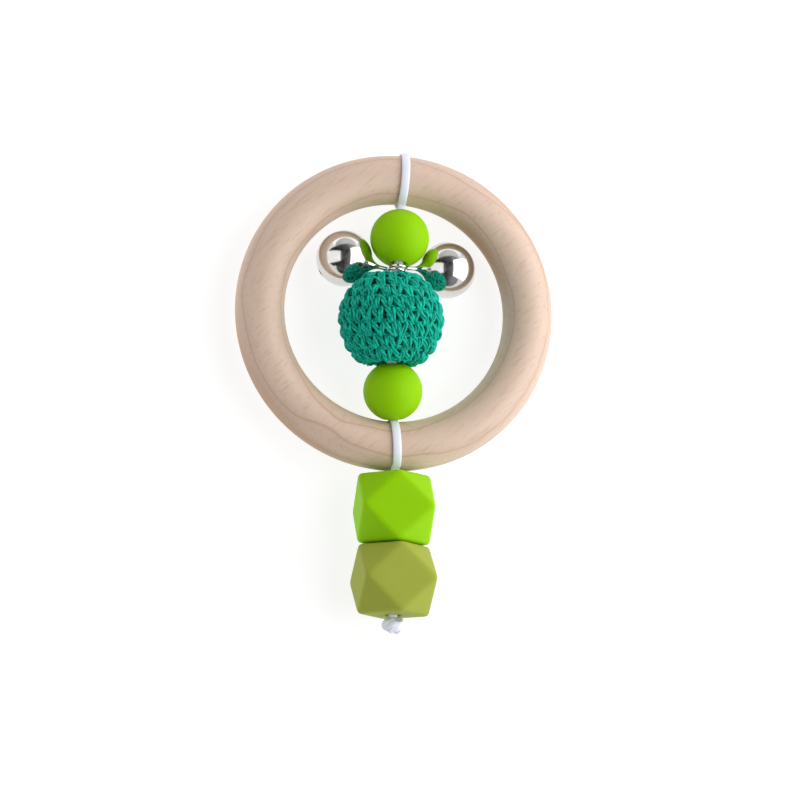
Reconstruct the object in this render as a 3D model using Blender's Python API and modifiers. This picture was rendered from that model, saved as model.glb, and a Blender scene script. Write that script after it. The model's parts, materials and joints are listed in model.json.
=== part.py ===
"""Baby rattle: a wooden ring with a doubled cord that carries beads, a crochet ball and two bells.

The object lies flat: +Z is up, +Y runs along the cord towards its fold, and the origin is the centre of
the base of the bounding box. The layout is worked out in plan from the ring's centre, with heights from
the surface that the object lies on, and everything is moved along Y at the end.
"""

import math

import bmesh
import bpy
from mathutils import Matrix, Vector

# Driving dimensions, in metres and degrees.
RING_OUTER_D = 0.065
RING_SECTION_D = 0.010

CORD_WIDTH = 0.0017
CORD_THICKNESS = 0.0006
STRAND_GAP = 0.0002  # between the two strands where they lie on each other
WRAP_GAP = 0.00015  # between the cord and the wood or bead that it is drawn against
CORD_TO_GROUND = 0.0001
BEND_RADIUS = 0.0012  # of a strand's middle where it leaves a bead for the ring

CONTACT_GAP = 0.0002  # between pieces that touch

ROUND_BEAD_D = 0.012
HEX_BEAD_SIZE = 0.0149  # between opposite square faces, across the cord
HEX_BEAD_LENGTH = 0.0143  # along the cord, which draws the soft beads together
HEX_EDGE_WIDTH = 0.0009
BEAD_BORE_D = 0.0028
COUNTERSINK_D = 0.0037
COUNTERSINK_DEPTH = 0.0005

CORE_D = 0.017
CORE_BORE_D = 0.0054
COVER_D = 0.0218
COVER_LENGTH = 0.0209  # along the cord
COVER_RIM_D = 0.0090  # of the dimple that the bells' eyes sit in
COVER_MOUTH_D = 0.0066
COVER_SEAT_MOUTH_D = 0.0056

BELL_D = 0.0115
BELL_WALL = 0.0004
BELL_NECK_REACH = 0.00555  # from the bell's sphere to its eye's centre
BELL_NECK_D = 0.0008
BELL_NECK_FILLET = 0.0028
EYE_WIRE_D = 0.0006
EYE_INNER_D = 0.0026
EYE_PLAY = 0.0018  # free length on the cord beside the two eyes
EYE_PITCH = 0.0009
SLIT_WIDTH = 0.0008
SLIT_HOLE_D = 0.0016
SLIT_SPAN = 100.0  # angle that the slit takes in, seen from the bell's centre
PELLET_D = 0.0030

KNOT_WIDTH = 0.0045
KNOT_LENGTH = 0.0034
KNOT_HEIGHT = 0.0036
KNOT_SWELL = 1.25  # a softened block draws in by about this much

# How the chain lies. A run is the stretch from the ring's bar to the nearest bead.
UPPER_WRAP_X = 0.00165
LOWER_WRAP_X = -0.0001
UPPER_RUN_LEAN = 10.3
LOWER_RUN_LEAN = 14.2
UPPER_RUN_DRIFT = -3.9
LOWER_RUN_DRIFT = -3.0
BALL_DRIFT = -2.8
BALL_AXIS_LEAN = 4.0
BALL_AXIS_DRIFT = 1.0
BALL_CORD_RISE = 0.0003  # of the cord over the ball's axis at mid length
BALL_CORD_DROP = 0.0013  # of the cord under the ball's axis at its upper mouth
BALL_CORD_SHIFT = 0.0005  # of the cord sideways at the upper mouth
TAIL_DRIFT = -0.7
OLIVE_SPIN = 5.0  # the olive bead lies turned about the cord, on one edge

# Resolution. Turned pieces take multiples of 12, so that they line up again after a third of a turn.
RING_SEGMENTS = 72
RING_SECTION_SEGMENTS = 12
BEAD_STEPS = 24
BALL_STEPS = 36
BELL_STEPS = 24
EYE_STEPS = 24
WIRE_SEGMENTS = 8
CORD_SIDES = 8
BEND_STEPS = 4
TAIL_STEPS = 4
WRAP_STEP = 15.0  # angle round the ring's bar

# Construction allowances.
CUT_PAST = 0.001  # how far a cutter stands out of the piece that it cuts
ON_AXIS = 1e-9  # a profile's point nearer to its axis than this lies on it
MERGE = 1e-6

# Derived sizes.
RING_R = (RING_OUTER_D - RING_SECTION_D) / 2
BAR_R = RING_SECTION_D / 2
WRAP_R = BAR_R + WRAP_GAP + CORD_THICKNESS / 2
WRAP_OUTER_R = WRAP_R + CORD_THICKNESS / 2
RING_Z = WRAP_OUTER_R + CORD_TO_GROUND
STRAND_OFFSET = (CORD_THICKNESS + STRAND_GAP) / 2
BEAD_R = ROUND_BEAD_D / 2
HEX_R = HEX_BEAD_SIZE / 2
HEX_HALF = HEX_BEAD_LENGTH / 2
CORE_R = CORE_D / 2
COVER_R = COVER_D / 2
COVER_HALF = COVER_LENGTH / 2
COVER_INNER_R = CORE_R + CONTACT_GAP
BELL_R = BELL_D / 2
BELL_INNER_R = BELL_R - BELL_WALL
BELL_ARM = BELL_R + BELL_NECK_REACH
EYE_R = (EYE_INNER_D + EYE_WIRE_D) / 2
PELLET_R = PELLET_D / 2
BEAD_TO_BAR = BAR_R + CONTACT_GAP + BEAD_R
BALL_TO_LOWER = CORE_R + CONTACT_GAP + BEAD_R
BALL_TO_UPPER = CORE_R + 2 * EYE_WIRE_D + EYE_PLAY + BEAD_R
BAR_TO_HEX = WRAP_OUTER_R + WRAP_GAP + HEX_HALF
HEX_PITCH = HEX_BEAD_LENGTH + CONTACT_GAP
OLIVE_LIFT = HEX_R * (math.cos(math.radians(OLIVE_SPIN)) + math.sin(math.radians(OLIVE_SPIN)) - 1)
TAIL_Z = HEX_R + OLIVE_LIFT / 2  # the cord lies midway between the two beads' own middles
TAIL_LIFT = TAIL_Z - RING_Z


def heading(drift, lean, forward=1):
    """A unit vector along Y, or against it, turned sideways by drift and upwards by lean."""
    drift, lean = math.radians(drift), math.radians(lean)
    return Vector(
        (
            math.sin(drift) * math.cos(lean),
            forward * math.cos(drift) * math.cos(lean),
            math.sin(lean),
        )
    )


def on_bar(x, side):
    """The middle of the ring's bar at x, on the +Y or -Y side."""
    return Vector((x, side * math.sqrt(RING_R**2 - x**2), RING_Z))


def reach(start, direction, centre, distance):
    """The first point from start along direction that is at the distance from centre."""
    to_centre = centre - start
    along = to_centre.dot(direction)
    aside = (to_centre - along * direction).length
    return start + direction * (along - math.sqrt(distance**2 - aside**2))


def hermite(start, end, count):
    """Points on a smooth curve between two (point, unit tangent) stations, without the last one."""
    (p0, t0), (p1, t1) = start, end
    length = (p1 - p0).length
    points = []
    for i in range(count):
        s = i / count
        points.append(
            (2 * s**3 - 3 * s**2 + 1) * p0
            + (s**3 - 2 * s**2 + s) * length * t0
            + (3 * s**2 - 2 * s**3) * p1
            + (s**3 - s**2) * length * t1
        )
    return points


class Layout:
    """Where each piece lies, in metres, before the move along Y that centres the object."""

    def __init__(self):
        self.upper_bar = on_bar(UPPER_WRAP_X, 1)
        self.lower_bar = on_bar(LOWER_WRAP_X, -1)
        self.lower_axis = heading(LOWER_RUN_DRIFT, LOWER_RUN_LEAN)
        self.lower_bead = self.lower_bar + BEAD_TO_BAR * self.lower_axis
        self.ball = self._ball()
        self.ball_axis = heading(BALL_AXIS_DRIFT, BALL_AXIS_LEAN)
        away = heading(UPPER_RUN_DRIFT, UPPER_RUN_LEAN, -1)
        self.upper_bead = reach(self.upper_bar, away, self.ball, BALL_TO_UPPER)
        self.upper_axis = -away
        self.tail_axis = heading(TAIL_DRIFT, 0, -1)
        self.tail_start = Vector((self.lower_bar.x, self.lower_bar.y, TAIL_Z))
        lower, higher = Vector((0, 0, -OLIVE_LIFT / 2)), Vector((0, 0, OLIVE_LIFT / 2))
        self.lime = self.tail_start + BAR_TO_HEX * self.tail_axis + lower
        self.olive = self.tail_start + (BAR_TO_HEX + HEX_PITCH) * self.tail_axis + higher
        past_beads = BAR_TO_HEX + HEX_PITCH + HEX_HALF + CONTACT_GAP
        self.knot = self.tail_start + (past_beads + KNOT_LENGTH / 2) * self.tail_axis
        top = self.upper_bar.y + WRAP_OUTER_R
        bottom = self.knot.y - KNOT_LENGTH / 2
        self.shift = Vector((0, -(top + bottom) / 2, 0))

    def _ball(self):
        """The ball lies on the surface and nests against the lower bead."""
        height = COVER_R - self.lower_bead.z
        level = math.sqrt(BALL_TO_LOWER**2 - height**2)
        return self.lower_bead + level * heading(BALL_DRIFT, 0) + Vector((0, 0, height))

    def string_middle(self):
        """Points on the middle of the doubled cord, from the lower bar's bend to the upper bar's."""
        side = Vector((1, 0, 0))
        up = side.cross(self.ball_axis).normalized()
        bend = bend_centre(STRAND_OFFSET)[0]
        start = (self.lower_bar + (bend + STRAND_GAP) * self.lower_axis, self.lower_axis)
        lower_out = (self.lower_bead + BEAD_R * self.lower_axis, self.lower_axis)
        ball_low = self.ball - CORE_R * self.ball_axis
        ball_mid = self.ball + BALL_CORD_RISE * up
        ball_top = self.ball + CORE_R * self.ball_axis - BALL_CORD_DROP * up + BALL_CORD_SHIFT * side
        upper_in = (self.upper_bead - BEAD_R * self.upper_axis, self.upper_axis)
        end = (self.upper_bar - bend * self.upper_axis, self.upper_axis)
        tangents = (
            (ball_mid - lower_out[0]).normalized(),
            (ball_top - ball_low).normalized(),
            (upper_in[0] - ball_mid).normalized(),
        )
        stations = [
            (start, 1),
            (lower_out, 2),
            ((ball_low, tangents[0]), 3),
            ((ball_mid, tangents[1]), 3),
            ((ball_top, tangents[2]), 4),
            (upper_in, 1),
        ]
        points = []
        for i, (station, count) in enumerate(stations):
            following = stations[i + 1][0] if i + 1 < len(stations) else end
            points += hermite(station, following, count)
        return points + [end[0]]

    def on_string(self, distance):
        """The point of the cord's middle below the upper bead, this far from that bead's centre."""
        points = self.string_middle()
        for low, high in zip(reversed(points[:-1]), reversed(points[1:])):
            if (low - self.upper_bead).length >= distance and low.y < self.upper_bead.y:
                near, far = (high - self.upper_bead).length, (low - self.upper_bead).length
                share = (distance - near) / (far - near)
                return high.lerp(low, share)
        raise ValueError("the cord is shorter than this distance")

    def bell(self, side, place):
        """(eye, swing axis, bell centre) of the bell on the -X or +X side.

        The bell rests on the surface, touches the upper bead and hangs on the cord by its arm. It swings
        about the line from its eye to the upper bead's middle, so that it stays in touch with that bead.
        """
        eye = self.on_string(BEAD_R + CONTACT_GAP + EYE_WIRE_D / 2 + place * EYE_PITCH)
        to_bead = BEAD_R + CONTACT_GAP + BELL_R
        arm = math.sqrt(BELL_ARM**2 - (eye.z - BELL_R) ** 2)
        gap = math.sqrt(to_bead**2 - (self.upper_bead.z - BELL_R) ** 2)
        between = Vector((self.upper_bead.x - eye.x, self.upper_bead.y - eye.y, 0))
        along = (arm**2 - gap**2 + between.length_squared) / (2 * between.length)
        ahead = between.normalized()
        right = Vector((ahead.y, -ahead.x, 0))
        level = Vector((eye.x, eye.y, BELL_R))
        centre = level + along * ahead + side * math.sqrt(arm**2 - along**2) * right
        return eye, (self.upper_bead - eye).normalized(), centre


def bend_centre(offset):
    """(along, aside) of the middle of a strand's bend between the ring's bar and a bore.

    The origin is the bar's middle, along runs towards the bore, and the bore's strand lies at offset.
    """
    aside = offset + BEND_RADIUS
    return math.sqrt((WRAP_R + BEND_RADIUS) ** 2 - aside**2), aside


def bend_points(offset):
    """(along, aside) points from the wrap round the bar to the straight strand in the bore."""
    along, aside = bend_centre(offset)
    start = math.pi + math.atan2(aside, along)
    points = []
    for i in range(BEND_STEPS + 1):
        angle = start + (1.5 * math.pi - start) * i / BEND_STEPS
        points.append(
            (along + BEND_RADIUS * math.cos(angle), aside + BEND_RADIUS * math.sin(angle))
        )
    return points


def wrap_points(first, last):
    """(along, aside) points of the wrap between two angles round the bar, without its ends."""
    count = max(2, round(abs(last - first) / math.radians(WRAP_STEP)))
    return [
        (
            WRAP_R * math.cos(first + (last - first) * i / count),
            WRAP_R * math.sin(first + (last - first) * i / count),
        )
        for i in range(1, count)
    ]


def placed(points, origin, along, aside):
    return [origin + a * along + b * aside for a, b in points]


def across(direction):
    """The unit vector over a cord's run, at right angles to it and to X."""
    return Vector((1, 0, 0)).cross(direction).normalized()


def strand(points, side):
    """The cord's middle moved to its front (side 1) or its back (side -1) strand."""
    moved = []
    for i, point in enumerate(points):
        ahead = points[min(i + 1, len(points) - 1)] - points[max(i - 1, 0)]
        moved.append(point + side * STRAND_OFFSET * across(ahead))
    return moved


def upper_cord_route(layout):
    """Up the front strand, round the upper bar and down the back strand."""
    middle = layout.string_middle()
    towards = -layout.upper_axis
    over = across(layout.upper_axis)
    bend = bend_points(STRAND_OFFSET)
    angle = math.atan2(bend[0][1], bend[0][0])
    front = placed(reversed(bend[:-1]), layout.upper_bar, towards, over)
    back = placed(bend[:-1], layout.upper_bar, towards, -over)
    round_bar = placed(
        wrap_points(angle, 2 * math.pi - angle), layout.upper_bar, towards, over
    )
    return strand(middle, 1) + front + round_bar + back + strand(middle, -1)[::-1]


def lower_cord_route(layout, side):
    """One strand from the lower bead's bore, round the lower bar, into the first faceted bead."""
    over = side * across(layout.lower_axis)
    into_bead = bend_points(STRAND_OFFSET)
    start = placed(reversed(into_bead), layout.lower_bar, layout.lower_axis, over)
    into_tail = bend_points(STRAND_OFFSET + side * TAIL_LIFT)
    up = Vector((0, 0, side))
    end = placed(into_tail, layout.lower_bar, layout.tail_axis, up)
    first = math.atan2(into_bead[0][1], into_bead[0][0])
    lean = side * math.radians(LOWER_RUN_LEAN)
    last = math.pi - math.atan2(into_tail[0][1], into_tail[0][0]) - lean
    round_bar = placed(wrap_points(first, last), layout.lower_bar, layout.lower_axis, over)
    return start + round_bar + end


def tail_cord_route(layout, side):
    """One straight strand through both faceted beads, up to the knot."""
    first = bend_centre(STRAND_OFFSET + side * TAIL_LIFT)[0] + STRAND_GAP
    last = (layout.knot - layout.tail_start).length - KNOT_LENGTH / 2 - CONTACT_GAP
    over = Vector((0, 0, side * STRAND_OFFSET))
    return [
        layout.tail_start + (first + (last - first) * i / TAIL_STEPS) * layout.tail_axis + over
        for i in range(TAIL_STEPS + 1)
    ]


def material(name, colour, roughness, metallic=0.0):
    made = bpy.data.materials.new(name)
    made.use_nodes = True
    shader = made.node_tree.nodes["Principled BSDF"]
    shader.inputs["Base Color"].default_value = (*colour, 1.0)
    shader.inputs["Roughness"].default_value = roughness
    shader.inputs["Metallic"].default_value = metallic
    made.diffuse_color = (*colour, 1.0)
    return made


def add(name, data, collection, finish=None):
    made = bpy.data.objects.new(name, data)
    collection.objects.link(made)
    if finish:
        data.materials.append(finish)
    return made


def mesh_from(bm, name):
    mesh = bpy.data.meshes.new(name)
    bm.to_mesh(mesh)
    bm.free()
    return mesh


def arc(centre, radii, first, last, count):
    """Points of an elliptical arc. Angles are in degrees, from +X towards +Z."""
    points = []
    for i in range(count + 1):
        angle = math.radians(first + (last - first) * i / count)
        points.append((centre[0] + radii[0] * math.cos(angle), centre[1] + radii[1] * math.sin(angle)))
    return points


def turned(name, profile, steps, collection, finish=None):
    """A solid of revolution about its own Z. The profile runs down its outer side and up inside."""
    bm = bmesh.new()
    verts = [bm.verts.new((x, 0, z)) for x, z in profile]
    for a, b in zip(verts, verts[1:]):
        bm.edges.new((a, b))
    if profile[0][0] > ON_AXIS or profile[-1][0] > ON_AXIS:
        bm.edges.new((verts[-1], verts[0]))
    made = add(name, mesh_from(bm, name), collection, finish)
    screw = made.modifiers.new("Turn", "SCREW")
    screw.axis = "Z"
    screw.steps = screw.render_steps = steps
    screw.use_merge_vertices = True
    screw.merge_threshold = MERGE
    screw.use_smooth_shade = True
    return made


def facing(direction, sideways=Vector((1, 0, 0))):
    """A rotation that takes Z to direction and X as near to sideways as it can be."""
    z = direction.normalized()
    y = z.cross(sideways).normalized()
    return Matrix((y.cross(z), y, z)).transposed().to_quaternion()


def place(made, location, rotation=None):
    made.location = location
    if rotation:
        made.rotation_mode = "QUATERNION"
        made.rotation_quaternion = rotation


def cord_piece(name, route, section, collection, finish):
    curve = bpy.data.curves.new(name, "CURVE")
    curve.dimensions = "3D"
    curve.twist_mode = "MINIMUM"
    curve.bevel_mode = "OBJECT"
    curve.bevel_object = section
    curve.use_fill_caps = True
    spline = curve.splines.new("POLY")
    spline.points.add(len(route) - 1)
    origin = route[0]
    for point, spot in zip(spline.points, route):
        point.co = (*(spot - origin), 1)
    made = add(name, curve, collection, finish)
    made.location = origin
    return made


def cord_section(collection):
    """The cord's flattened section, as the outline that each strand is swept with."""
    curve = bpy.data.curves.new("cord_section", "CURVE")
    curve.dimensions = "2D"
    spline = curve.splines.new("POLY")
    spline.points.add(CORD_SIDES - 1)
    for i, point in enumerate(spline.points):
        angle = -2 * math.pi * i / CORD_SIDES
        point.co = (
            CORD_WIDTH / 2 * math.cos(angle),
            CORD_THICKNESS / 2 * math.sin(angle),
            0,
            1,
        )
    spline.use_cyclic_u = True
    made = add("cord_section", curve, collection)
    made.hide_render = True
    return made


def torus(name, radius, bar_radius, steps, bar_steps, collection, finish):
    """A ring about its own Z, made by turning a round section."""
    bm = bmesh.new()
    bmesh.ops.create_circle(
        bm, segments=bar_steps, radius=bar_radius, matrix=Matrix.Rotation(math.pi / 2, 4, "X")
    )
    bmesh.ops.translate(bm, vec=(radius, 0, 0), verts=bm.verts[:])
    bmesh.ops.spin(
        bm,
        geom=bm.verts[:] + bm.edges[:],
        cent=(0, 0, 0),
        axis=(0, 0, 1),
        angle=2 * math.pi,
        steps=steps,
        use_merge=True,
    )
    bmesh.ops.recalc_face_normals(bm, faces=bm.faces[:])
    made = add(name, mesh_from(bm, name), collection, finish)
    made.data.shade_smooth()
    return made


def bead_bore(half):
    """The inside of a bead's profile, from its lower mouth to its upper one, for a bead this high."""
    wide, narrow = COUNTERSINK_D / 2, BEAD_BORE_D / 2
    return wide, [(narrow, COUNTERSINK_DEPTH - half), (narrow, half - COUNTERSINK_DEPTH)]


def round_bead(name, collection, finish):
    wide, bore = bead_bore(BEAD_R)
    edge = math.degrees(math.acos(wide / BEAD_R))
    outer = arc((0, 0), (BEAD_R, BEAD_R), edge, -edge, 10)
    return turned(name, outer + bore, BEAD_STEPS, collection, finish)


def hex_bead(name, collection, cutters, finish):
    """A block whose corners are cut back to the middles of its edges, with rounded edges and a bore."""
    bm = bmesh.new()
    block = Matrix.Diagonal((HEX_BEAD_SIZE, HEX_BEAD_SIZE, HEX_BEAD_LENGTH, 1))
    bmesh.ops.create_cube(bm, size=1, matrix=block)
    bmesh.ops.bevel(
        bm, geom=bm.verts[:], offset=50, offset_type="PERCENT", affect="VERTICES", segments=1
    )
    bmesh.ops.remove_doubles(bm, verts=bm.verts[:], dist=MERGE)
    made = add(name, mesh_from(bm, name), collection, finish)
    bevel = made.modifiers.new("Moulded edges", "BEVEL")
    bevel.width = HEX_EDGE_WIDTH
    bevel.segments = 2
    wide, bore = bead_bore(HEX_HALF)
    mouth = wide + (wide - BEAD_BORE_D / 2) * CUT_PAST / COUNTERSINK_DEPTH
    end = HEX_HALF + CUT_PAST
    profile = [(0, end), (mouth, end)] + bore[::-1] + [(mouth, -end), (0, -end)]
    cutter = turned(name + "_bore", profile, BEAD_STEPS, cutters)
    hide_cutter(cutter)
    cut = made.modifiers.new("Bore", "BOOLEAN")
    cut.object = cutter
    made.data.shade_smooth()
    return made, cutter


def hide_cutter(cutter):
    cutter.hide_render = True
    cutter.display_type = "WIRE"


def ball_core(collection, finish):
    mouth = CORE_BORE_D / 2
    edge = math.degrees(math.acos(mouth / CORE_R))
    outer = arc((0, 0), (CORE_R, CORE_R), edge, -edge, 8)
    return turned("wooden_core_bead", outer, BEAD_STEPS, collection, finish)


def cover_height(radius):
    """The cover's outer surface over its middle, this far from the ball's axis."""
    return COVER_HALF * math.sqrt(1 - (radius / COVER_R) ** 2)


def seat_points(layout, count=2):
    """The cover's lower dimple, which clears the lower bead at every turn of the ball."""
    to_bead = layout.lower_bead - layout.ball
    depth = -to_bead.dot(layout.ball_axis)
    off = (to_bead + depth * layout.ball_axis).length
    clear = BEAD_R + CONTACT_GAP

    def seat(radius):
        return depth - math.sqrt(clear**2 - (radius - off) ** 2)

    low, high = COVER_SEAT_MOUTH_D / 2, off + clear
    for _ in range(40):
        rim = (low + high) / 2
        low, high = (rim, high) if seat(rim) < cover_height(rim) else (low, rim)
    mouth = COVER_SEAT_MOUTH_D / 2
    radii = [rim + (mouth - rim) * i / count for i in range(count + 1)]
    return [(radius, -seat(radius)) for radius in radii]


def ball_cover(layout, collection, finish):
    rim, mouth = COVER_RIM_D / 2, COVER_MOUTH_D / 2
    seat = seat_points(layout)
    top = math.degrees(math.acos(rim / COVER_R))
    bottom = math.degrees(math.acos(seat[0][0] / COVER_R))
    outer = arc((0, 0), (COVER_R, COVER_HALF), top, -bottom, 10)[:-1]
    inner_low = math.degrees(math.acos(seat[-1][0] / COVER_INNER_R))
    inner_top = math.degrees(math.acos(mouth / COVER_INNER_R))
    inner = arc((0, 0), (COVER_INNER_R, COVER_INNER_R), -inner_low, inner_top, 8)
    return turned("crochet_cover", outer + seat + inner, BALL_STEPS, collection, finish)


def bell_cups(name, collection, cutters, finish):
    """The two halves, with their origin at the eye's centre and the bell hanging below it."""
    rim = CONTACT_GAP / 2
    neck = BELL_NECK_D / 2
    tip = BELL_ARM - EYE_R - EYE_WIRE_D / 2 - CONTACT_GAP
    fillet_x = neck + BELL_NECK_FILLET
    fillet_z = math.sqrt((BELL_R + BELL_NECK_FILLET) ** 2 - fillet_x**2)
    shoulder = math.degrees(math.atan2(fillet_z, fillet_x))
    outer_rim = math.degrees(math.asin(rim / BELL_R))
    inner_rim = math.degrees(math.asin(rim / BELL_INNER_R))
    upper = [(0, tip), (neck, tip)]
    upper += arc((fillet_x, fillet_z), (BELL_NECK_FILLET,) * 2, 180, 180 + shoulder, 3)
    upper += arc((0, 0), (BELL_R,) * 2, shoulder, outer_rim, 5)[1:]
    upper += arc((0, 0), (BELL_INNER_R,) * 2, inner_rim, 90, 5)
    lower = arc((0, 0), (BELL_INNER_R,) * 2, -90, -inner_rim, 6)
    lower = arc((0, 0), (BELL_R,) * 2, -outer_rim, -90, 6) + lower
    made = []
    for half, profile in (("upper_cup", upper), ("lower_cup", lower)):
        lowered = [(0 if abs(x) < ON_AXIS else x, z - BELL_ARM) for x, z in profile]
        made.append(turned(f"{name}_{half}", lowered, BELL_STEPS, collection, finish))
    tools = slit_cutters(name, cutters)
    for tool in tools:
        cut = made[1].modifiers.new("Sound slit", "BOOLEAN")
        cut.object = tool
    return made, tools


def slit_cutters(name, cutters):
    """A slab for the sound slit and a pin for the round hole at each of its ends."""
    half = math.radians(SLIT_SPAN / 2)
    inside = BELL_R * math.cos(half) - CUT_PAST
    depth = BELL_R + CUT_PAST - inside
    centre = Vector((0, 0, -BELL_ARM))
    bm = bmesh.new()
    slab = Matrix.LocRotScale(
        centre - Vector((0, 0, inside + depth / 2)),
        None,
        Vector((2 * BELL_R * math.sin(half), SLIT_WIDTH, depth)),
    )
    bmesh.ops.create_cube(bm, size=1, matrix=slab)
    made = [add(name + "_slit", mesh_from(bm, name + "_slit"), cutters)]
    for side, word in ((-1, "a"), (1, "b")):
        out = Vector((side * math.sin(half), 0, -math.cos(half)))
        turn = out.to_track_quat("Z", "Y").to_matrix().to_4x4()
        bm = bmesh.new()
        bmesh.ops.create_cone(
            bm,
            cap_ends=True,
            segments=12,
            radius1=SLIT_HOLE_D / 2,
            radius2=SLIT_HOLE_D / 2,
            depth=2 * CUT_PAST,
            matrix=Matrix.Translation(centre + BELL_R * out) @ turn,
        )
        label = f"{name}_slit_end_{word}"
        made.append(add(label, mesh_from(bm, label), cutters))
    for cutter in made:
        hide_cutter(cutter)
    return made


def pellet(name, collection, finish):
    bm = bmesh.new()
    bmesh.ops.create_uvsphere(bm, u_segments=12, v_segments=8, radius=PELLET_R)
    made = add(name + "_pellet", mesh_from(bm, name + "_pellet"), collection, finish)
    made.data.shade_smooth()
    return made


def bell(name, side, spot, layout, collection, cutters, finishes):
    eye, axis, centre = layout.bell(side, spot)
    home = layout.shift + eye
    turn = facing(eye - centre, axis)
    cups, tools = bell_cups(name, collection, cutters, finishes["chrome"])
    for made in cups + tools:
        place(made, home, turn)
    wire = (EYE_WIRE_D / 2, EYE_STEPS, WIRE_SEGMENTS)
    ring = torus(name + "_eye", EYE_R, *wire, collection, finishes["chrome"])
    place(ring, home, facing(axis))
    ball = pellet(name, collection, finishes["steel"])
    drop = BELL_INNER_R - CONTACT_GAP - PELLET_R
    place(ball, layout.shift + centre - Vector((0, 0, drop)))


def tail_knot(collection, finish):
    bm = bmesh.new()
    bmesh.ops.create_cube(bm, size=1)
    size = KNOT_SWELL * Vector((KNOT_WIDTH, KNOT_LENGTH, KNOT_HEIGHT))
    scale = Matrix.Diagonal(size.to_4d())
    bmesh.ops.transform(bm, matrix=scale, verts=bm.verts[:])
    made = add("tail_knot", mesh_from(bm, "tail_knot"), collection, finish)
    soft = made.modifiers.new("Soft", "SUBSURF")
    soft.levels = soft.render_levels = 2
    made.data.shade_smooth()
    return made


def main():
    for old in list(bpy.data.objects):
        bpy.data.objects.remove(old, do_unlink=True)
    parts = bpy.data.collections.new("baby_rattle")
    cutters = bpy.data.collections.new("cutters")
    bpy.context.scene.collection.children.link(parts)
    bpy.context.scene.collection.children.link(cutters)
    finishes = {
        "wood": material("beech", (0.62, 0.45, 0.32), 0.55),
        "core": material("core_wood", (0.30, 0.16, 0.08), 0.7),
        "lime": material("lime_silicone", (0.27, 0.60, 0.0), 0.45),
        "olive": material("olive_silicone", (0.33, 0.38, 0.05), 0.45),
        "yarn": material("teal_yarn", (0.0, 0.33, 0.20), 0.9),
        "cord": material("white_satin", (0.86, 0.88, 0.95), 0.4),
        "chrome": material("bell_chrome", (0.8, 0.8, 0.8), 0.08, 1.0),
        "steel": material("pellet_steel", (0.45, 0.45, 0.46), 0.3, 1.0),
    }
    layout = Layout()
    shift = layout.shift

    bar = (BAR_R, RING_SEGMENTS, RING_SECTION_SEGMENTS)
    ring = torus("wooden_ring", RING_R, *bar, parts, finishes["wood"])
    place(ring, shift + Vector((0, 0, RING_Z)))

    upper = round_bead("round_bead_upper", parts, finishes["lime"])
    place(upper, shift + layout.upper_bead, facing(layout.upper_axis))
    lower = round_bead("round_bead_lower", parts, finishes["lime"])
    place(lower, shift + layout.lower_bead, facing(layout.lower_axis))
    for ball in (ball_core(parts, finishes["core"]), ball_cover(layout, parts, finishes["yarn"])):
        place(ball, shift + layout.ball, facing(layout.ball_axis))

    bell("bell_left", -1, 1, layout, parts, cutters, finishes)
    bell("bell_right", 1, 0, layout, parts, cutters, finishes)

    section = cord_section(cutters)
    cords = {"cord_upper": upper_cord_route(layout)}
    for side, word in ((1, "front"), (-1, "back")):
        cords[f"cord_lower_{word}"] = lower_cord_route(layout, side)
        cords[f"cord_tail_{word}"] = tail_cord_route(layout, side)
    hinge = bpy.data.objects.new("tail_hinge", None)
    parts.objects.link(hinge)
    hinge.location = shift + layout.lower_bar
    on_tail = []
    for name, route in cords.items():
        made = cord_piece(name, [shift + spot for spot in route], section, parts, finishes["cord"])
        if "tail" in name:
            on_tail.append(made)

    for name, colour, centre, spin in (
        ("hex_bead_lime", "lime", layout.lime, 0),
        ("hex_bead_olive", "olive", layout.olive, OLIVE_SPIN),
    ):
        pair = hex_bead(name, parts, cutters, finishes[colour])
        turn = facing(layout.tail_axis) @ Matrix.Rotation(math.radians(-spin), 3, "Z").to_quaternion()
        for made in pair:
            place(made, shift + centre, turn)
            on_tail.append(made)
    knot = tail_knot(parts, finishes["cord"])
    place(knot, shift + layout.knot)
    on_tail.append(knot)
    for made in on_tail:
        made.parent = hinge
        made.location = made.location - hinge.location


main()
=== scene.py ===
"""Looks of the baby rattle: a turned beech ring, silicone beads, a crocheted ball, satin cord and bells.

Lengths are in metres and angles in degrees unless a name says otherwise. +Z is up, and +Y runs along the
cord towards its fold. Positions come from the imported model's joints and boxes.
"""

import json
import logging
import math
import random
from dataclasses import dataclass, field
from enum import Enum
from typing import Any, Callable, Iterable, Sequence

import bmesh
import bpy
import numpy as np
from mathutils import Matrix, Vector


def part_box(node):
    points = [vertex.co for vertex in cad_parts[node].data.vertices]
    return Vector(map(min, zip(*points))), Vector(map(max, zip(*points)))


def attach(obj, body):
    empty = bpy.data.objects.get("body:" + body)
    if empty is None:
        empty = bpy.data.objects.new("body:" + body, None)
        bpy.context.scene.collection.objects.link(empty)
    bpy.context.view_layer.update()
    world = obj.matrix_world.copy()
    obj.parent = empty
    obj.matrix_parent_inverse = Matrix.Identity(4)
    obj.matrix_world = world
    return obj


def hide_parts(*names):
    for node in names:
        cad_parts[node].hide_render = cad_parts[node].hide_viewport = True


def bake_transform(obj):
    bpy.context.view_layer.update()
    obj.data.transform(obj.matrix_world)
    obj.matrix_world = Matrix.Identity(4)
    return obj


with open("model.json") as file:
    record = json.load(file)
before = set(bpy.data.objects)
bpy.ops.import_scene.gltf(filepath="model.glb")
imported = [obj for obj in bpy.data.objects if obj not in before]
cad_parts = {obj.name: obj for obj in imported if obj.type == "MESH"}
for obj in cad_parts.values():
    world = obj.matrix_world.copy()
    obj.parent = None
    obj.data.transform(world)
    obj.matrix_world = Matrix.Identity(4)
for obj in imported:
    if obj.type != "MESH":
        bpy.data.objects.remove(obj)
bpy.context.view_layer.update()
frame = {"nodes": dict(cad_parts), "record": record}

MM = 0.001
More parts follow.
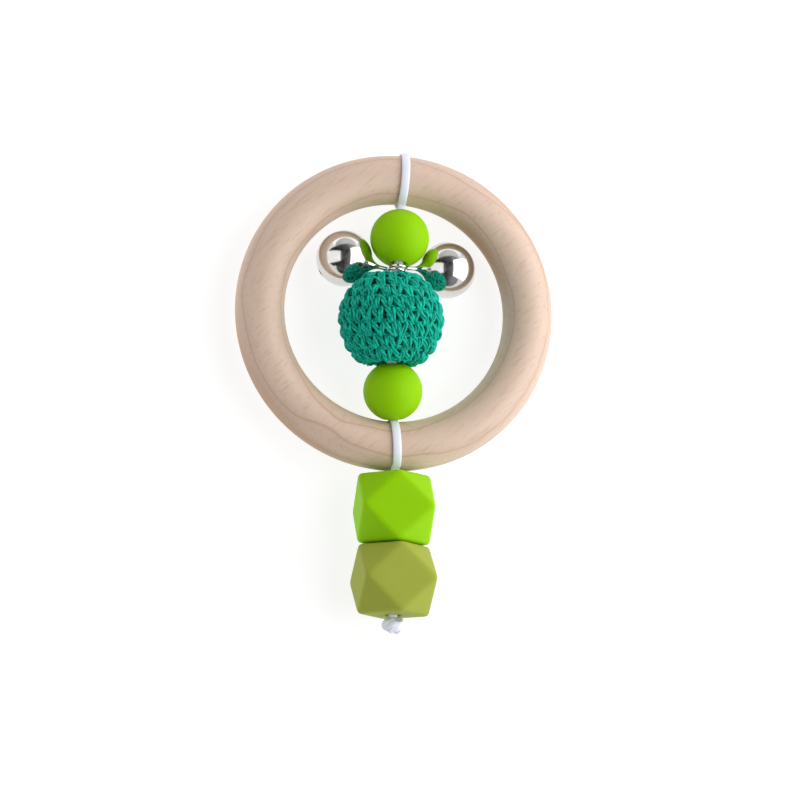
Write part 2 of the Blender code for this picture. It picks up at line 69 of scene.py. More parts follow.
LOG = logging.getLogger("rattle")
X, Y, Z = Vector((1, 0, 0)), Vector((0, 1, 0)), Vector((0, 0, 1))


# ---------------------------------------------------------------------------------------- nodes


def linear(colour: str) -> tuple[float, float, float, float]:
    """Turns an sRGB colour into the linear one that sockets take.

    Args:
        colour: the colour as #rrggbb.

    Returns:
        Linear red, green, blue and an alpha of 1.
    """
    parts = [int(colour[i : i + 2], 16) / 255 for i in (1, 3, 5)]
    light = [p / 12.92 if p <= 0.04045 else ((p + 0.055) / 1.055) ** 2.4 for p in parts]
    return (*light, 1.0)


def set_inputs(tree: bpy.types.NodeTree, node: bpy.types.Node, inputs: dict[str | int, Any]) -> None:
    """Sets a node's inputs.

    Args:
        tree: the node's tree.
        node: the node.
        inputs: for each input, its plain value or the output that it's linked from.
    """
    for key, value in inputs.items():
        if isinstance(value, bpy.types.NodeSocket):
            tree.links.new(value, node.inputs[key])
        else:
            node.inputs[key].default_value = value


def add_node(
    tree: bpy.types.NodeTree,
    kind: str,
    settings: dict[str, Any] | None = None,
    inputs: dict[str | int, Any] | None = None,
) -> bpy.types.Node:
    """Adds a node with its settings and inputs.

    Args:
        tree: the node tree that it goes into.
        kind: the node's type, without the word ShaderNode.
        settings: the node's own properties.
        inputs: for each input, its plain value or the output that it's linked from.

    Returns:
        The node.
    """
    node = tree.nodes.new(f"ShaderNode{kind}")
    for name, value in (settings or {}).items():
        setattr(node, name, value)
    set_inputs(tree, node, inputs or {})
    return node


def noise(
    tree: bpy.types.NodeTree,
    place: bpy.types.NodeSocket,
    size: float,
    detail: float,
    roughness: float = 0.5,
) -> bpy.types.NodeSocket:
    """Adds soft noise.

    Args:
        tree: the node tree that it goes into.
        place: the coordinates that it's drawn in.
        size: how far apart its patches lie, in metres.
        detail: how many finer layers it has.
        roughness: how strong the finer layers are.

    Returns:
        The noise, from 0 to 1.
    """
    values = {"Scale": 1 / size, "Detail": detail, "Roughness": roughness, "Vector": place}
    return add_node(tree, "TexNoise", inputs=values).outputs["Fac"]


def ramp(
    tree: bpy.types.NodeTree, amount: bpy.types.NodeSocket, *stops: tuple[float, str]
) -> bpy.types.NodeSocket:
    """Adds a colour ramp.

    Args:
        tree: the node tree that it goes into.
        amount: what is turned into colour.
        stops: the ramp's positions and sRGB colours.

    Returns:
        The colour.
    """
    node = add_node(tree, "ValToRGB", inputs={"Fac": amount})
    elements = node.color_ramp.elements
    while len(elements) < len(stops):
        elements.new(1.0)
    for element, (position, colour) in zip(elements, stops):
        element.position, element.color = position, linear(colour)
    return node.outputs["Color"]


def remap(
    tree: bpy.types.NodeTree,
    value: bpy.types.NodeSocket,
    source: tuple[float, float],
    target: tuple[float, float],
    kind: str = "LINEAR",
) -> bpy.types.NodeSocket:
    """Adds a change from one range of values to another.

    Args:
        tree: the node tree that it goes into.
        value: what is changed.
        source: the range that it's read in.
        target: the range that it goes to.
        kind: how it goes from one end to the other.

    Returns:
        The changed value.
    """
    ends = {"From Min": source[0], "From Max": source[1], "To Min": target[0], "To Max": target[1]}
    node = add_node(tree, "MapRange", {"interpolation_type": kind}, {**ends, "Value": value})
    return node.outputs["Result"]


def multiply_add(tree: bpy.types.NodeTree, value: Any, factor: Any, more: Any) -> bpy.types.NodeSocket:
    """Adds a sum, value x factor + more, of plain values or outputs, and returns its output."""
    node = add_node(tree, "Math", {"operation": "MULTIPLY_ADD"}, {0: value, 1: factor, 2: more})
    return node.outputs["Value"]


def tinted(
    tree: bpy.types.NodeTree, amount: bpy.types.NodeSocket, base: bpy.types.NodeSocket, colour: str
) -> bpy.types.NodeSocket:
    """Adds a mix of a base colour with a plain one.

    Args:
        tree: the node tree that it goes into.
        amount: how much of the plain colour there is.
        base: the base colour.
        colour: the plain colour, as #rrggbb.

    Returns:
        The mixed colour.
    """
    values = {"B": linear(colour), "Factor": amount, "A": base}
    return add_node(tree, "Mix", {"data_type": "RGBA"}, values).outputs["Result"]


def bumps(
    tree: bpy.types.NodeTree, height: bpy.types.NodeSocket, strength: float, depth: float
) -> bpy.types.NodeSocket:
    """Adds small bumps.

    Args:
        tree: the node tree that it goes into.
        height: the pattern of the bumps.
        strength: how strongly they show.
        depth: how deep they are, in metres.

    Returns:
        The bumpy normal.
    """
    values = {"Strength": strength, "Distance": depth, "Height": height}
    return add_node(tree, "Bump", inputs=values).outputs["Normal"]


@dataclass(frozen=True)
class Finish:
    """A surface's material, with the shader values that are the same all over it."""

    name: str
    slot: str

    def material(self) -> bpy.types.Material:
        """Makes the material.

        Returns:
            A material with one shader, dressed by the finish's own nodes.
        """
        made = bpy.data.materials.new(self.name)
        made.use_nodes = True
        self.dress(made.node_tree, made.node_tree.nodes["Principled BSDF"])
        return made

    def dress(self, tree: bpy.types.NodeTree, shader: bpy.types.Node) -> None:
        """Sets the shader's values and adds the nodes of the pattern.

        Args:
            tree: the material's nodes.
            shader: its Principled shader.
        """
        raise NotImplementedError


@dataclass(frozen=True)
class SandedBeech(Finish):
    """Turned and sanded beech without varnish.

    It gives the eye a pale pinkish wood with a dull silky gloss, thin brown lines where the growth layers
    come to the surface, short darker flecks along the grain, and warmer, darker end grain.
    """

    early_wood: str = "#d4b8a5"
    pale_wood: str = "#dac0ac"
    late_wood: str = "#c2a28c"
    end_grain: str = "#a87c50"
    fleck: str = "#b8967e"
    roughness: float = 0.52
    ior: float = 1.5
    grain_angle: float = 40.0
    layer: float = 2.9 * MM
    first_layer: float = 9.9 * MM
    layer_tilt: float = 0.012
    waver: float = 5.0 * MM
    waver_size: float = 26 * MM
    # Beech rays are about 0.1 mm wide. They're drawn three times as wide, to show.
    fleck_width: float = 0.3 * MM
    fleck_length: float = 2.4 * MM
    fleck_noise: tuple[float, float] = (0.52, 0.78)
    fleck_strength: float = 0.55
    # How squarely a surface faces the grain's direction where its end grain starts, and at most.
    end_facing: tuple[float, float] = (0.62, 1.0)
    end_strength: float = 0.55
    # Whole layers, which keep the count of layers above zero and don't move them.
    spare_layers: int = 3

    def dress(self, tree: bpy.types.NodeTree, shader: bpy.types.Node) -> None:
        """Draws growth layers, flecks and end grain.

        Args:
            tree: the material's nodes.
            shader: its Principled shader.
        """
        place = add_node(tree, "TexCoord")
        angle = math.radians(self.grain_angle)
        turned_place = {"Rotation": (0, 0, angle), "Vector": place.outputs["Object"]}
        along = add_node(tree, "Mapping", {"vector_type": "TEXTURE"}, turned_place).outputs["Vector"]
        long_wave = noise(tree, along, self.waver_size, 2.0, 0.45)
        parts = add_node(tree, "SeparateXYZ", inputs={"Vector": along})
        tilt = multiply_add(tree, parts.outputs["Y"], self.layer_tilt, parts.outputs["Z"])
        height = multiply_add(tree, long_wave, self.waver, tilt)
        start = self.spare_layers - (self.first_layer + self.waver / 2) / self.layer
        layers = multiply_add(tree, height, 1 / self.layer, start)
        within = add_node(tree, "Math", {"operation": "FRACT"}, {0: layers})
        # Each layer starts and ends on a brown line, and is palest a third of the way through.
        rings = ramp(
            tree,
            within.outputs["Value"],
            (0.0, self.late_wood),
            (0.035, self.early_wood),
            (0.35, self.pale_wood),
            (0.93, self.early_wood),
            (1.0, self.late_wood),
        )
        squeeze = {"Scale": (self.fleck_width / self.fleck_length, 1.0, 1.0), "Vector": along}
        stretch = add_node(tree, "Mapping", inputs=squeeze)
        flecks = noise(tree, stretch.outputs["Vector"], 2 * self.fleck_width, 3.0, 0.6)
        fleck_amount = remap(tree, flecks, self.fleck_noise, (0.0, self.fleck_strength))
        flecked = tinted(tree, fleck_amount, rings, self.fleck)
        facing = add_node(
            tree,
            "VectorMath",
            {"operation": "DOT_PRODUCT"},
            {0: place.outputs["Normal"], 1: Vector((math.cos(angle), math.sin(angle), 0))},
        )
        ends = add_node(tree, "Math", {"operation": "ABSOLUTE"}, {0: facing.outputs["Value"]})
        end_amount = remap(
            tree, ends.outputs["Value"], self.end_facing, (0.0, self.end_strength), "SMOOTHSTEP"
        )
        look = {
            "Base Color": tinted(tree, end_amount, flecked, self.end_grain),
            "Normal": bumps(tree, flecks, 0.25, 0.04 * MM),
            "Roughness": self.roughness,
            "IOR": self.ior,
        }
        set_inputs(tree, shader, look)


@dataclass(frozen=True)
class Silicone(Finish):
    """Food-grade silicone rubber, moulded with a fine matt skin.

    It gives the eye a full, slightly see-through colour and a wide soft highlight with no sharp edge.
    """

    colour: str = "#90cc00"
    roughness: float = 0.55
    ior: float = 1.41
    gloss: float = 0.14
    depth: float = 0.8 * MM
    glow: float = 0.12
    cloud_size: float = 3 * MM
    # The skin's texture is about 0.05 mm. It's drawn coarser, to show.
    skin: float = 0.18 * MM

    def dress(self, tree: bpy.types.NodeTree, shader: bpy.types.Node) -> None:
        """Draws the matt skin and a faint cloudiness of the colour.

        Args:
            tree: the material's nodes.
            shader: its Principled shader.
        """
        place = add_node(tree, "TexCoord").outputs["Object"]
        cloud = noise(tree, place, self.cloud_size, 2.0)
        shade = remap(tree, cloud, (0.3, 0.7), (0.985, 1.015))
        body = add_node(tree, "HueSaturation", inputs={"Color": linear(self.colour), "Value": shade})
        look = {
            "Base Color": body.outputs["Color"],
            "Normal": bumps(tree, noise(tree, place, self.skin, 2.0, 0.6), 0.12, 0.02 * MM),
            "Roughness": self.roughness,
            "IOR": self.ior,
            "Specular IOR Level": self.gloss,
            "Subsurface Weight": self.glow,
            "Subsurface Radius": (1.0, 1.0, 0.3),
            "Subsurface Scale": self.depth,
        }
        set_inputs(tree, shader, look)


@dataclass(frozen=True)
class CottonYarn(Finish):
    """Mercerised cotton, plied and dyed.

    It gives the eye soft strands with a faint lustre, darker where they dive under each other, with fine
    fibres that run along them.
    """

    light: str = "#00c0a4"
    dark: str = "#008573"
    sheen: str = "#20d8b8"
    dye_patch: float = 1.1 * MM
    roughness: float = 0.72
    ior: float = 1.53
    # Cotton fibres are 0.02 mm thick. They're drawn as bundles, to show.
    bundle: float = 0.12 * MM

    def dress(self, tree: bpy.types.NodeTree, shader: bpy.types.Node) -> None:
        """Draws uneven dye and bundles of fibres.

        Args:
            tree: the material's nodes.
            shader: its Principled shader.
        """
        place = add_node(tree, "TexCoord").outputs["Object"]
        dye = noise(tree, place, self.dye_patch, 3.0, 0.65)
        look = {
            "Base Color": ramp(tree, dye, (0.32, self.dark), (0.62, self.light)),
            "Normal": bumps(tree, noise(tree, place, self.bundle, 2.0, 0.7), 0.5, 0.05 * MM),
            "Roughness": self.roughness,
            "IOR": self.ior,
            "Specular IOR Level": 0.2,
            "Sheen Weight": 0.12,
            "Sheen Roughness": 0.4,
            "Sheen Tint": linear(self.sheen),
        }
        set_inputs(tree, shader, look)


@dataclass(frozen=True)
class SatinCord(Finish):
    """Braided polyester satin cord, pressed flat.

    It gives the eye bright white threads with a silky gloss, in a fine diagonal braid whose grooves carry
    painted cool shade.
    """

    light: str = "#f4f6ff"
    # Painted shade: a cool lavender grey for the grooves between the braid's threads.
    shade: str = "#dcdff2"
    melted: str = "#a98f86"
    roughness: float = 0.34
    ior: float = 1.55
    # The threads are about 0.1 mm wide. They're drawn twice as wide, to show.
    thread: float = 0.2 * MM

    def dress(self, tree: bpy.types.NodeTree, shader: bpy.types.Node) -> None:
        """Draws the braid along the cord with painted shade in its grooves, and browner plastic where the
        ends are melted.

        Args:
            tree: the material's nodes.
            shader: its Principled shader.
        """
        run = add_node(tree, "UVMap", {"uv_map": Sweep.UV_NAME})
        weave = {
            "Scale": 1 / (3 * self.thread),
            "Distortion": 1.2,
            "Detail": 1.0,
            "Detail Scale": 2.0,
            "Vector": run.outputs["UV"],
        }
        bands = {"wave_type": "BANDS", "bands_direction": "DIAGONAL"}
        braid = add_node(tree, "TexWave", bands, weave).outputs["Fac"]
        # Painted shade: the braid's low bands, its grooves, get the cool grey, and its raised threads the
        # white.
        colour = ramp(tree, braid, (0.1, self.shade), (0.75, self.light))
        melt = add_node(tree, "Attribute", {"attribute_name": Sweep.MELT_NAME})
        look = {
            "Base Color": tinted(tree, melt.outputs["Fac"], colour, self.melted),
            "Normal": bumps(tree, braid, 0.35, 0.04 * MM),
            "Roughness": self.roughness,
            "IOR": self.ior,
            "Sheen Weight": 0.25,
            "Sheen Roughness": 0.3,
        }
        set_inputs(tree, shader, look)


@dataclass(frozen=True)
class PlatedMetal(Finish):
    """Brass or steel with polished nickel plating.

    It gives the eye a warm mirror, broken only by hairline rubbing marks.
    """

    colour: str = "#dddbd8"
    roughness: float = 0.12
    marks: float = 0.04
    mark_size: float = 1.5 * MM

    def dress(self, tree: bpy.types.NodeTree, shader: bpy.types.Node) -> None:
        """Draws rubbing marks in the gloss.

        Args:
            tree: the material's nodes.
            shader: its Principled shader.
        """
        place = add_node(tree, "TexCoord").outputs["Object"]
        rubbed = noise(tree, place, self.mark_size, 4.0, 0.7)
        gloss = remap(tree, rubbed, (0.35, 0.75), (self.roughness, self.roughness + self.marks))
        look = {"Roughness": gloss, "Base Color": linear(self.colour), "Metallic": 1.0}
        set_inputs(tree, shader, look)


@dataclass(frozen=True)
class StudioPaper(Finish):
    """Matt backdrop sheet, lit from beneath, which is a plain white floor with hardly any shadow."""

    colour: str = "#8c8c8c"
    light: str = "#ffffff"
    roughness: float = 0.9
    glow: float = 0.82

    def dress(self, tree: bpy.types.NodeTree, shader: bpy.types.Node) -> None:
        """Sets the paper's plain values.

        Args:
            tree: the material's nodes.
            shader: its Principled shader.
        """
        look = {
            "Base Color": linear(self.colour),
            "Roughness": self.roughness,
            "Emission Color": linear(self.light),
            "Emission Strength": self.glow,
        }
        set_inputs(tree, shader, look)


# --------------------------------------------------------------------------------------- meshes


@dataclass
class Shape:
    """The points and faces of one mesh, gathered from any number of grids."""

    points: list[np.ndarray] = field(default_factory=list)
    faces: list[np.ndarray] = field(default_factory=list)
    uvs: list[np.ndarray] = field(default_factory=list)
    melts: list[np.ndarray] = field(default_factory=list)
    count: int = 0
    crease: float = 62.0

    def grid(
        self,
        points: np.ndarray,
        closed: tuple[bool, bool],
        uv: np.ndarray | None = None,
        melt: np.ndarray | None = None,
    ) -> None:
        """Adds a grid of faces.

        Args:
            points: rows by columns of points.
            closed: whether the last row joins the first, and the last column the first.
            uv: a pair of lengths for each point.
            melt: how far each point is melted, from 0 to 1.
        """
        rows, columns = points.shape[:2]
        index = np.arange(rows * columns).reshape(rows, columns) + self.count
        down = np.concatenate([index, index[:1]]) if closed[0] else index
        both = np.concatenate([down, down[:, :1]], axis=1) if closed[1] else down
        corners = (both[:-1, :-1], both[:-1, 1:], both[1:, 1:], both[1:, :-1])
        self.faces.append(np.stack([c.ravel() for c in corners], axis=1))
        self.points.append(points.reshape(-1, 3))
        self.uvs.append(np.zeros((rows * columns, 2)) if uv is None else uv.reshape(-1, 2))
        self.melts.append(np.zeros(rows * columns) if melt is None else melt.reshape(-1))
        self.count += rows * columns

    def piece(self, name: str, material: bpy.types.Material) -> bpy.types.Object:
        """Makes an object of what was gathered.

        Args:
            name: the object's name.
            material: its material.

        Returns:
            The object, smooth and linked to the scene.
        """
        points, faces = np.concatenate(self.points), np.concatenate(self.faces)
        mesh = bpy.data.meshes.new(name)
        mesh.vertices.add(len(points))
        mesh.vertices.foreach_set("co", points.astype(np.float32).ravel())
        mesh.loops.add(faces.size)
        mesh.loops.foreach_set("vertex_index", faces.astype(np.int32).ravel())
        mesh.polygons.add(len(faces))
        mesh.polygons.foreach_set("loop_start", np.arange(0, faces.size, 4, dtype=np.int32))
        mesh.update(calc_edges=True)
        mesh.validate()
        lengths = mesh.uv_layers.new(name=Sweep.UV_NAME)
        loops = np.empty(len(mesh.loops), np.int32)
        mesh.loops.foreach_get("vertex_index", loops)
        lengths.uv.foreach_set("vector", np.concatenate(self.uvs)[loops].astype(np.float32).ravel())
        melt = mesh.attributes.new(Sweep.MELT_NAME, "FLOAT", "POINT")
        melt.data.foreach_set("value", np.concatenate(self.melts).astype(np.float32))
        mesh.shade_smooth()
        mesh.set_sharp_from_angle(angle=math.radians(self.crease))
        mesh.materials.append(material)
        made = bpy.data.objects.new(name, mesh)
        bpy.context.scene.collection.objects.link(made)
        return made


def unit(vectors: np.ndarray) -> np.ndarray:
    """Each vector at length one."""
    return vectors / np.maximum(np.linalg.norm(vectors, axis=-1, keepdims=True), 1e-12)


def smooth_path(stations: Sequence[Sequence[float]], count: int) -> np.ndarray:
    """A smooth curve through points, evenly spaced along its length.

    Args:
        stations: the points that it goes through.
        count: how many points it gets.

    Returns:
        The points, one a row.
    """
    p = np.array(stations, float)
    p = np.vstack([2 * p[0] - p[1], p, 2 * p[-1] - p[-2]])
    t = np.linspace(0, 1, 8, endpoint=False)[:, None]
    pieces = []
    for a, b, c, d in zip(p, p[1:], p[2:], p[3:]):
        pieces.append(
            0.5
            * (
                2 * b
                + (c - a) * t
                + (2 * a - 5 * b + 4 * c - d) * t**2
                + (3 * b - a - 3 * c + d) * t**3
            )
        )
    fine = np.vstack([*pieces, p[-2]])
    gone = np.concatenate([[0], np.cumsum(np.linalg.norm(np.diff(fine, axis=0), axis=1))])
    at = np.linspace(0, gone[-1], count)
    return np.stack([np.interp(at, gone, fine[:, i]) for i in range(3)], axis=1)


@dataclass(frozen=True)
class Sweep:
    """A section carried along a path, rounded off at both ends."""

    section: np.ndarray
    cap: float = 0.0
    UV_NAME = "run"
    MELT_NAME = "melt"

    @staticmethod
    def oval(width: float, thickness: float, sides: int = 16, squareness: float = 2.6) -> "Sweep":
        """A flattened section.

        Args:
            width: across the section.
            thickness: over the section.
            sides: how many points go round it.
            squareness: 2 for an ellipse, and more for fuller corners.

        Returns:
            The sweep of that section, with ends half as long as it is thick.
        """
        angle = np.linspace(0, 2 * np.pi, sides, endpoint=False)
        power = 2 / squareness
        x = np.sign(np.cos(angle)) * np.abs(np.cos(angle)) ** power * width / 2
        y = np.sign(np.sin(angle)) * np.abs(np.sin(angle)) ** power * thickness / 2
        return Sweep(np.stack([x, y], axis=1), thickness / 2)

    def along(
        self,
        shape: Shape,
        path: np.ndarray,
        across: np.ndarray,
        melt: Callable[[np.ndarray], np.ndarray] | None = None,
    ) -> None:
        """Adds the swept surface to a shape.

        Args:
            shape: what it's added to.
            path: the points that the section follows.
            across: for each point, the direction of the section's width.
            melt: from lengths along the path to how far the cord is melted there.
        """
        ahead = unit(np.gradient(path, axis=0))
        side = unit(across - (across * ahead).sum(1, keepdims=True) * ahead)
        over = np.cross(ahead, side)
        gone = np.concatenate([[0], np.cumsum(np.linalg.norm(np.diff(path, axis=0), axis=1))])
        size = np.ones(len(path))
        if self.cap:
            near = np.minimum(gone, gone[-1] - gone) / self.cap
            size = np.sqrt(np.clip(1 - (1 - np.clip(near, 0, 1)) ** 2, 1e-4, 1))
        flat = self.section[None] * size[:, None, None]
        points = path[:, None] + flat[..., :1] * side[:, None] + flat[..., 1:] * over[:, None]
        edge = np.linalg.norm(np.roll(self.section, -1, 0) - self.section, axis=1)
        round_it = np.concatenate([[0], np.cumsum(edge)[:-1]])
        uv = np.stack(np.broadcast_arrays(gone[:, None], round_it[None]), axis=-1)
        amount = None if melt is None else np.repeat(melt(gone), len(self.section))
        shape.grid(points[:, ::-1], (False, True), uv[:, ::-1], amount)


def end_dense(path: np.ndarray, cap: float, steps: int = 5) -> np.ndarray:
    """A path with extra points near its ends, so that its rounded ends are smooth.

    Args:
        path: the points.
        cap: the length of each end.
        steps: how many points each end gets.

    Returns:
        The path with its first and last stretch divided.
    """
    gone = np.concatenate([[0], np.cumsum(np.linalg.norm(np.diff(path, axis=0), axis=1))])
    ends = cap * (1 - np.cos(np.linspace(0, np.pi / 2, steps)))
    inside = gone[(gone > cap) & (gone < gone[-1] - cap)]
    at = np.concatenate([ends, inside, gone[-1] - ends[::-1]])
    return np.stack([np.interp(at, gone, path[:, i]) for i in range(3)], axis=1)


def turn_to(direction: Vector, sideways: Vector = X) -> Matrix:
    """A rotation that takes Z to a direction and X as near to sideways as it can be.

    Args:
        direction: where Z goes.
        sideways: where X goes, as nearly as it can.

    Returns:
        The rotation as a 4 by 4 matrix.
    """
    z = direction.normalized()
    y = z.cross(sideways).normalized()
    return Matrix((y.cross(z), y, z)).transposed().to_4x4()


def moved(points: np.ndarray, place: Matrix) -> np.ndarray:
    """Points carried by a matrix."""
    m = np.array(place)
    return points @ m[:3, :3].T + m[:3, 3]


def arc(centre: tuple[float, float], radius: float, first: float, last: float, count: int) -> np.ndarray:
    """Points (out, up) of an arc.

    Args:
        centre: its centre.
        radius: its radius.
        first: the first angle, from out towards up.
        last: the last angle.
        count: how many points there are.

    Returns:
        The points, one a row.
    """
    angle = np.radians(np.linspace(first, last, count))
    return np.stack([centre[0] + radius * np.cos(angle), centre[1] + radius * np.sin(angle)], axis=1)


def turned(profile: np.ndarray, steps: int) -> np.ndarray:
    """A grid of points from a profile turned about Z.

    Args:
        profile: (out, up) points.
        steps: how many copies of it go round.

    Returns:
        A grid with one row for each copy.
    """
    angle = np.linspace(0, 2 * np.pi, steps, endpoint=False)[:, None]
    out, up = profile[None, :, 0], profile[None, :, 1]
    return np.stack([out * np.cos(angle), out * np.sin(angle), up + 0 * angle], axis=-1)


# ---------------------------------------------------------------------------------------- frame


def joint(name: str) -> tuple[Vector, Vector]:
    """A joint's place and axis.

    Args:
        name: the joint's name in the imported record.

    Returns:
        The point that it turns about, and its unit axis.
    """
    found = next(j for j in frame["record"]["behaviour"]["joints"] if j["name"] == name)
    return Vector(found["pos_m"]), Vector(found["axis"]).normalized()


def box_middle(node: str) -> Vector:
    """The middle of a node's box."""
    low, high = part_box(node)
    return (low + high) / 2


def stand_in(piece: bpy.types.Object, nodes: Iterable[str], body: str = "") -> None:
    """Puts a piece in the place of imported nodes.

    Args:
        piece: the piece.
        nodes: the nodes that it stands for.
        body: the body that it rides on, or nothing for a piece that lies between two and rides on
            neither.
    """
    if body:
        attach(piece, body)
    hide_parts(*nodes)
    LOG.info("%s stands for %s, %d faces", piece.name, ", ".join(nodes), len(piece.data.polygons))


def refinish(node: str, finish: Finish, material: bpy.types.Material) -> None:
    """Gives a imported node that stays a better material.

    Args:
        node: the node's name.
        finish: the finish, for the log.
        material: the material made from it.
    """
    data = frame["nodes"][node].data
    data.materials.clear()
    data.materials.append(material)
    data.shade_smooth()
    LOG.info("%s keeps its shape, in %s", node, finish.name)


# --------------------------------------------------------------------------------------- pieces


@dataclass
class WoodenRing:
    """The turned ring, a torus."""

    finish: SandedBeech
    steps: int = 288
    section_steps: int = 72

    def build(self) -> None:
        """Builds and dresses the ring in its node's box."""
        low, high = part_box("wooden_ring")
        bar = (high.z - low.z) / 2
        radius = (high.x - low.x) / 2 - bar
        shape = Shape()
        section = arc((radius, 0), bar, 0, 360, self.section_steps + 1)[:-1]
        shape.grid(moved(turned(section, self.steps), Matrix.Translation((low + high) / 2)), (True, True))
        ring = shape.piece("beech_ring", self.finish.material())
        stand_in(ring, ["wooden_ring"], "ring")


class BeadForm(Enum):
    """The two shapes that the beads are moulded in."""

    ROUND = "round"
    FACETED = "faceted"


@dataclass
class Bead:
    """A silicone bead on the cord, with a rounded lip at each end of its bore."""

    node: str
    joint: str
    body: str
    form: BeadForm
    finish: Silicone
    bore_radius: float = 1.4 * MM
    lip: float = 0.5 * MM
    # Higher is sharper. This rounds the moulded edges to a radius of about 1.7 mm.
    edge_power: float = 30.0
    steps: int = 180
    outer_steps: int = 110
    lip_steps: int = 9

    def radius(self, directions: np.ndarray, girth: float, half: float) -> np.ndarray:
        """The distance from the bead's centre to its skin.

        Args:
            directions: unit vectors.
            girth: half the bead's width across the cord.
            half: half the bead's length.

        Returns:
            One distance for each direction.
        """
        if self.form is BeadForm.ROUND:
            return np.full(directions.shape[:-1], half)
        corners = np.array([(i, j, k) for i in (-1, 1) for j in (-1, 1) for k in (-1, 1)]) / 2
        squares = np.vstack([np.eye(3), -np.eye(3)])
        shares = directions / (girth, girth, half)
        towards = np.concatenate([shares @ squares.T, shares @ corners.T], axis=-1)
        return (np.clip(towards, 0, None) ** self.edge_power).sum(-1) ** (-1 / self.edge_power)

    def grid(self, girth: float, half: float) -> np.ndarray:
        """The bead's skin and bore about Z.

        Args:
            girth: half the bead's width across the cord.
            half: half the bead's length.

        Returns:
            A grid of points that closes both ways.
        """
        lip_out = self.bore_radius + self.lip
        if self.form is BeadForm.ROUND:
            lip_up = math.sqrt((half - self.lip) ** 2 - lip_out**2)
            lip_start = math.degrees(math.atan2(lip_up, lip_out))
        else:
            lip_up, lip_start = half - self.lip, 90.0
        rim = arc((lip_out, lip_up), self.lip, lip_start, 180, self.lip_steps)
        first = math.atan2(rim[0, 0], rim[0, 1])
        angle = np.linspace(math.pi - first, first, self.outer_steps)
        around = np.linspace(0, 2 * np.pi, self.steps, endpoint=False)[:, None]
        directions = np.stack(
            [np.sin(angle) * np.cos(around), np.sin(angle) * np.sin(around), np.cos(angle) + 0 * around],
            axis=-1,
        )
        skin = directions * self.radius(directions, girth, half)[..., None]
        inner = np.vstack([rim[1:], (rim[1:] * (1, -1))[::-1]])
        return np.concatenate([skin, turned(inner, self.steps)], axis=1)

    def build(self) -> None:
        """Builds and dresses the bead about its joint."""
        centre, axis = joint(self.joint)
        low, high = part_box(self.node)
        if self.form is BeadForm.ROUND:
            girth = half = (high.x - low.x) / 2
            turn = turn_to(axis)
        else:
            turn = self.face_turn(centre, axis)
            girth, half = self.reach(centre, turn.to_3x3() @ X), self.reach(centre, axis)
        shape = Shape()
        shape.grid(moved(self.grid(girth, half), Matrix.Translation(centre) @ turn), (True, True))
        bead = shape.piece(f"silicone_{self.node}", self.finish.material())
        stand_in(bead, [self.node], self.body)

    def reach(self, centre: Vector, direction: Vector) -> float:
        """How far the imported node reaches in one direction.

        Args:
            centre: the bead's centre.
            direction: a unit vector.

        Returns:
            The distance from the centre.
        """
        return max((v.co - centre).dot(direction) for v in frame["nodes"][self.node].data.vertices)

    def face_turn(self, centre: Vector, axis: Vector) -> Matrix:
        """How a faceted bead lies turned about the cord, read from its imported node.

        Args:
            centre: the bead's centre.
            axis: the cord's direction.

        Returns:
            The rotation of the bead's own frame.
        """
        side = turn_to(axis)

        def spread(degrees: float) -> float:
            along = (side @ Matrix.Rotation(math.radians(degrees), 4, "Z")).to_3x3() @ X
            return self.reach(centre, along)

        angle = min((a / 4 for a in range(-80, 81)), key=spread)
        return side @ Matrix.Rotation(math.radians(angle), 4, "Z")


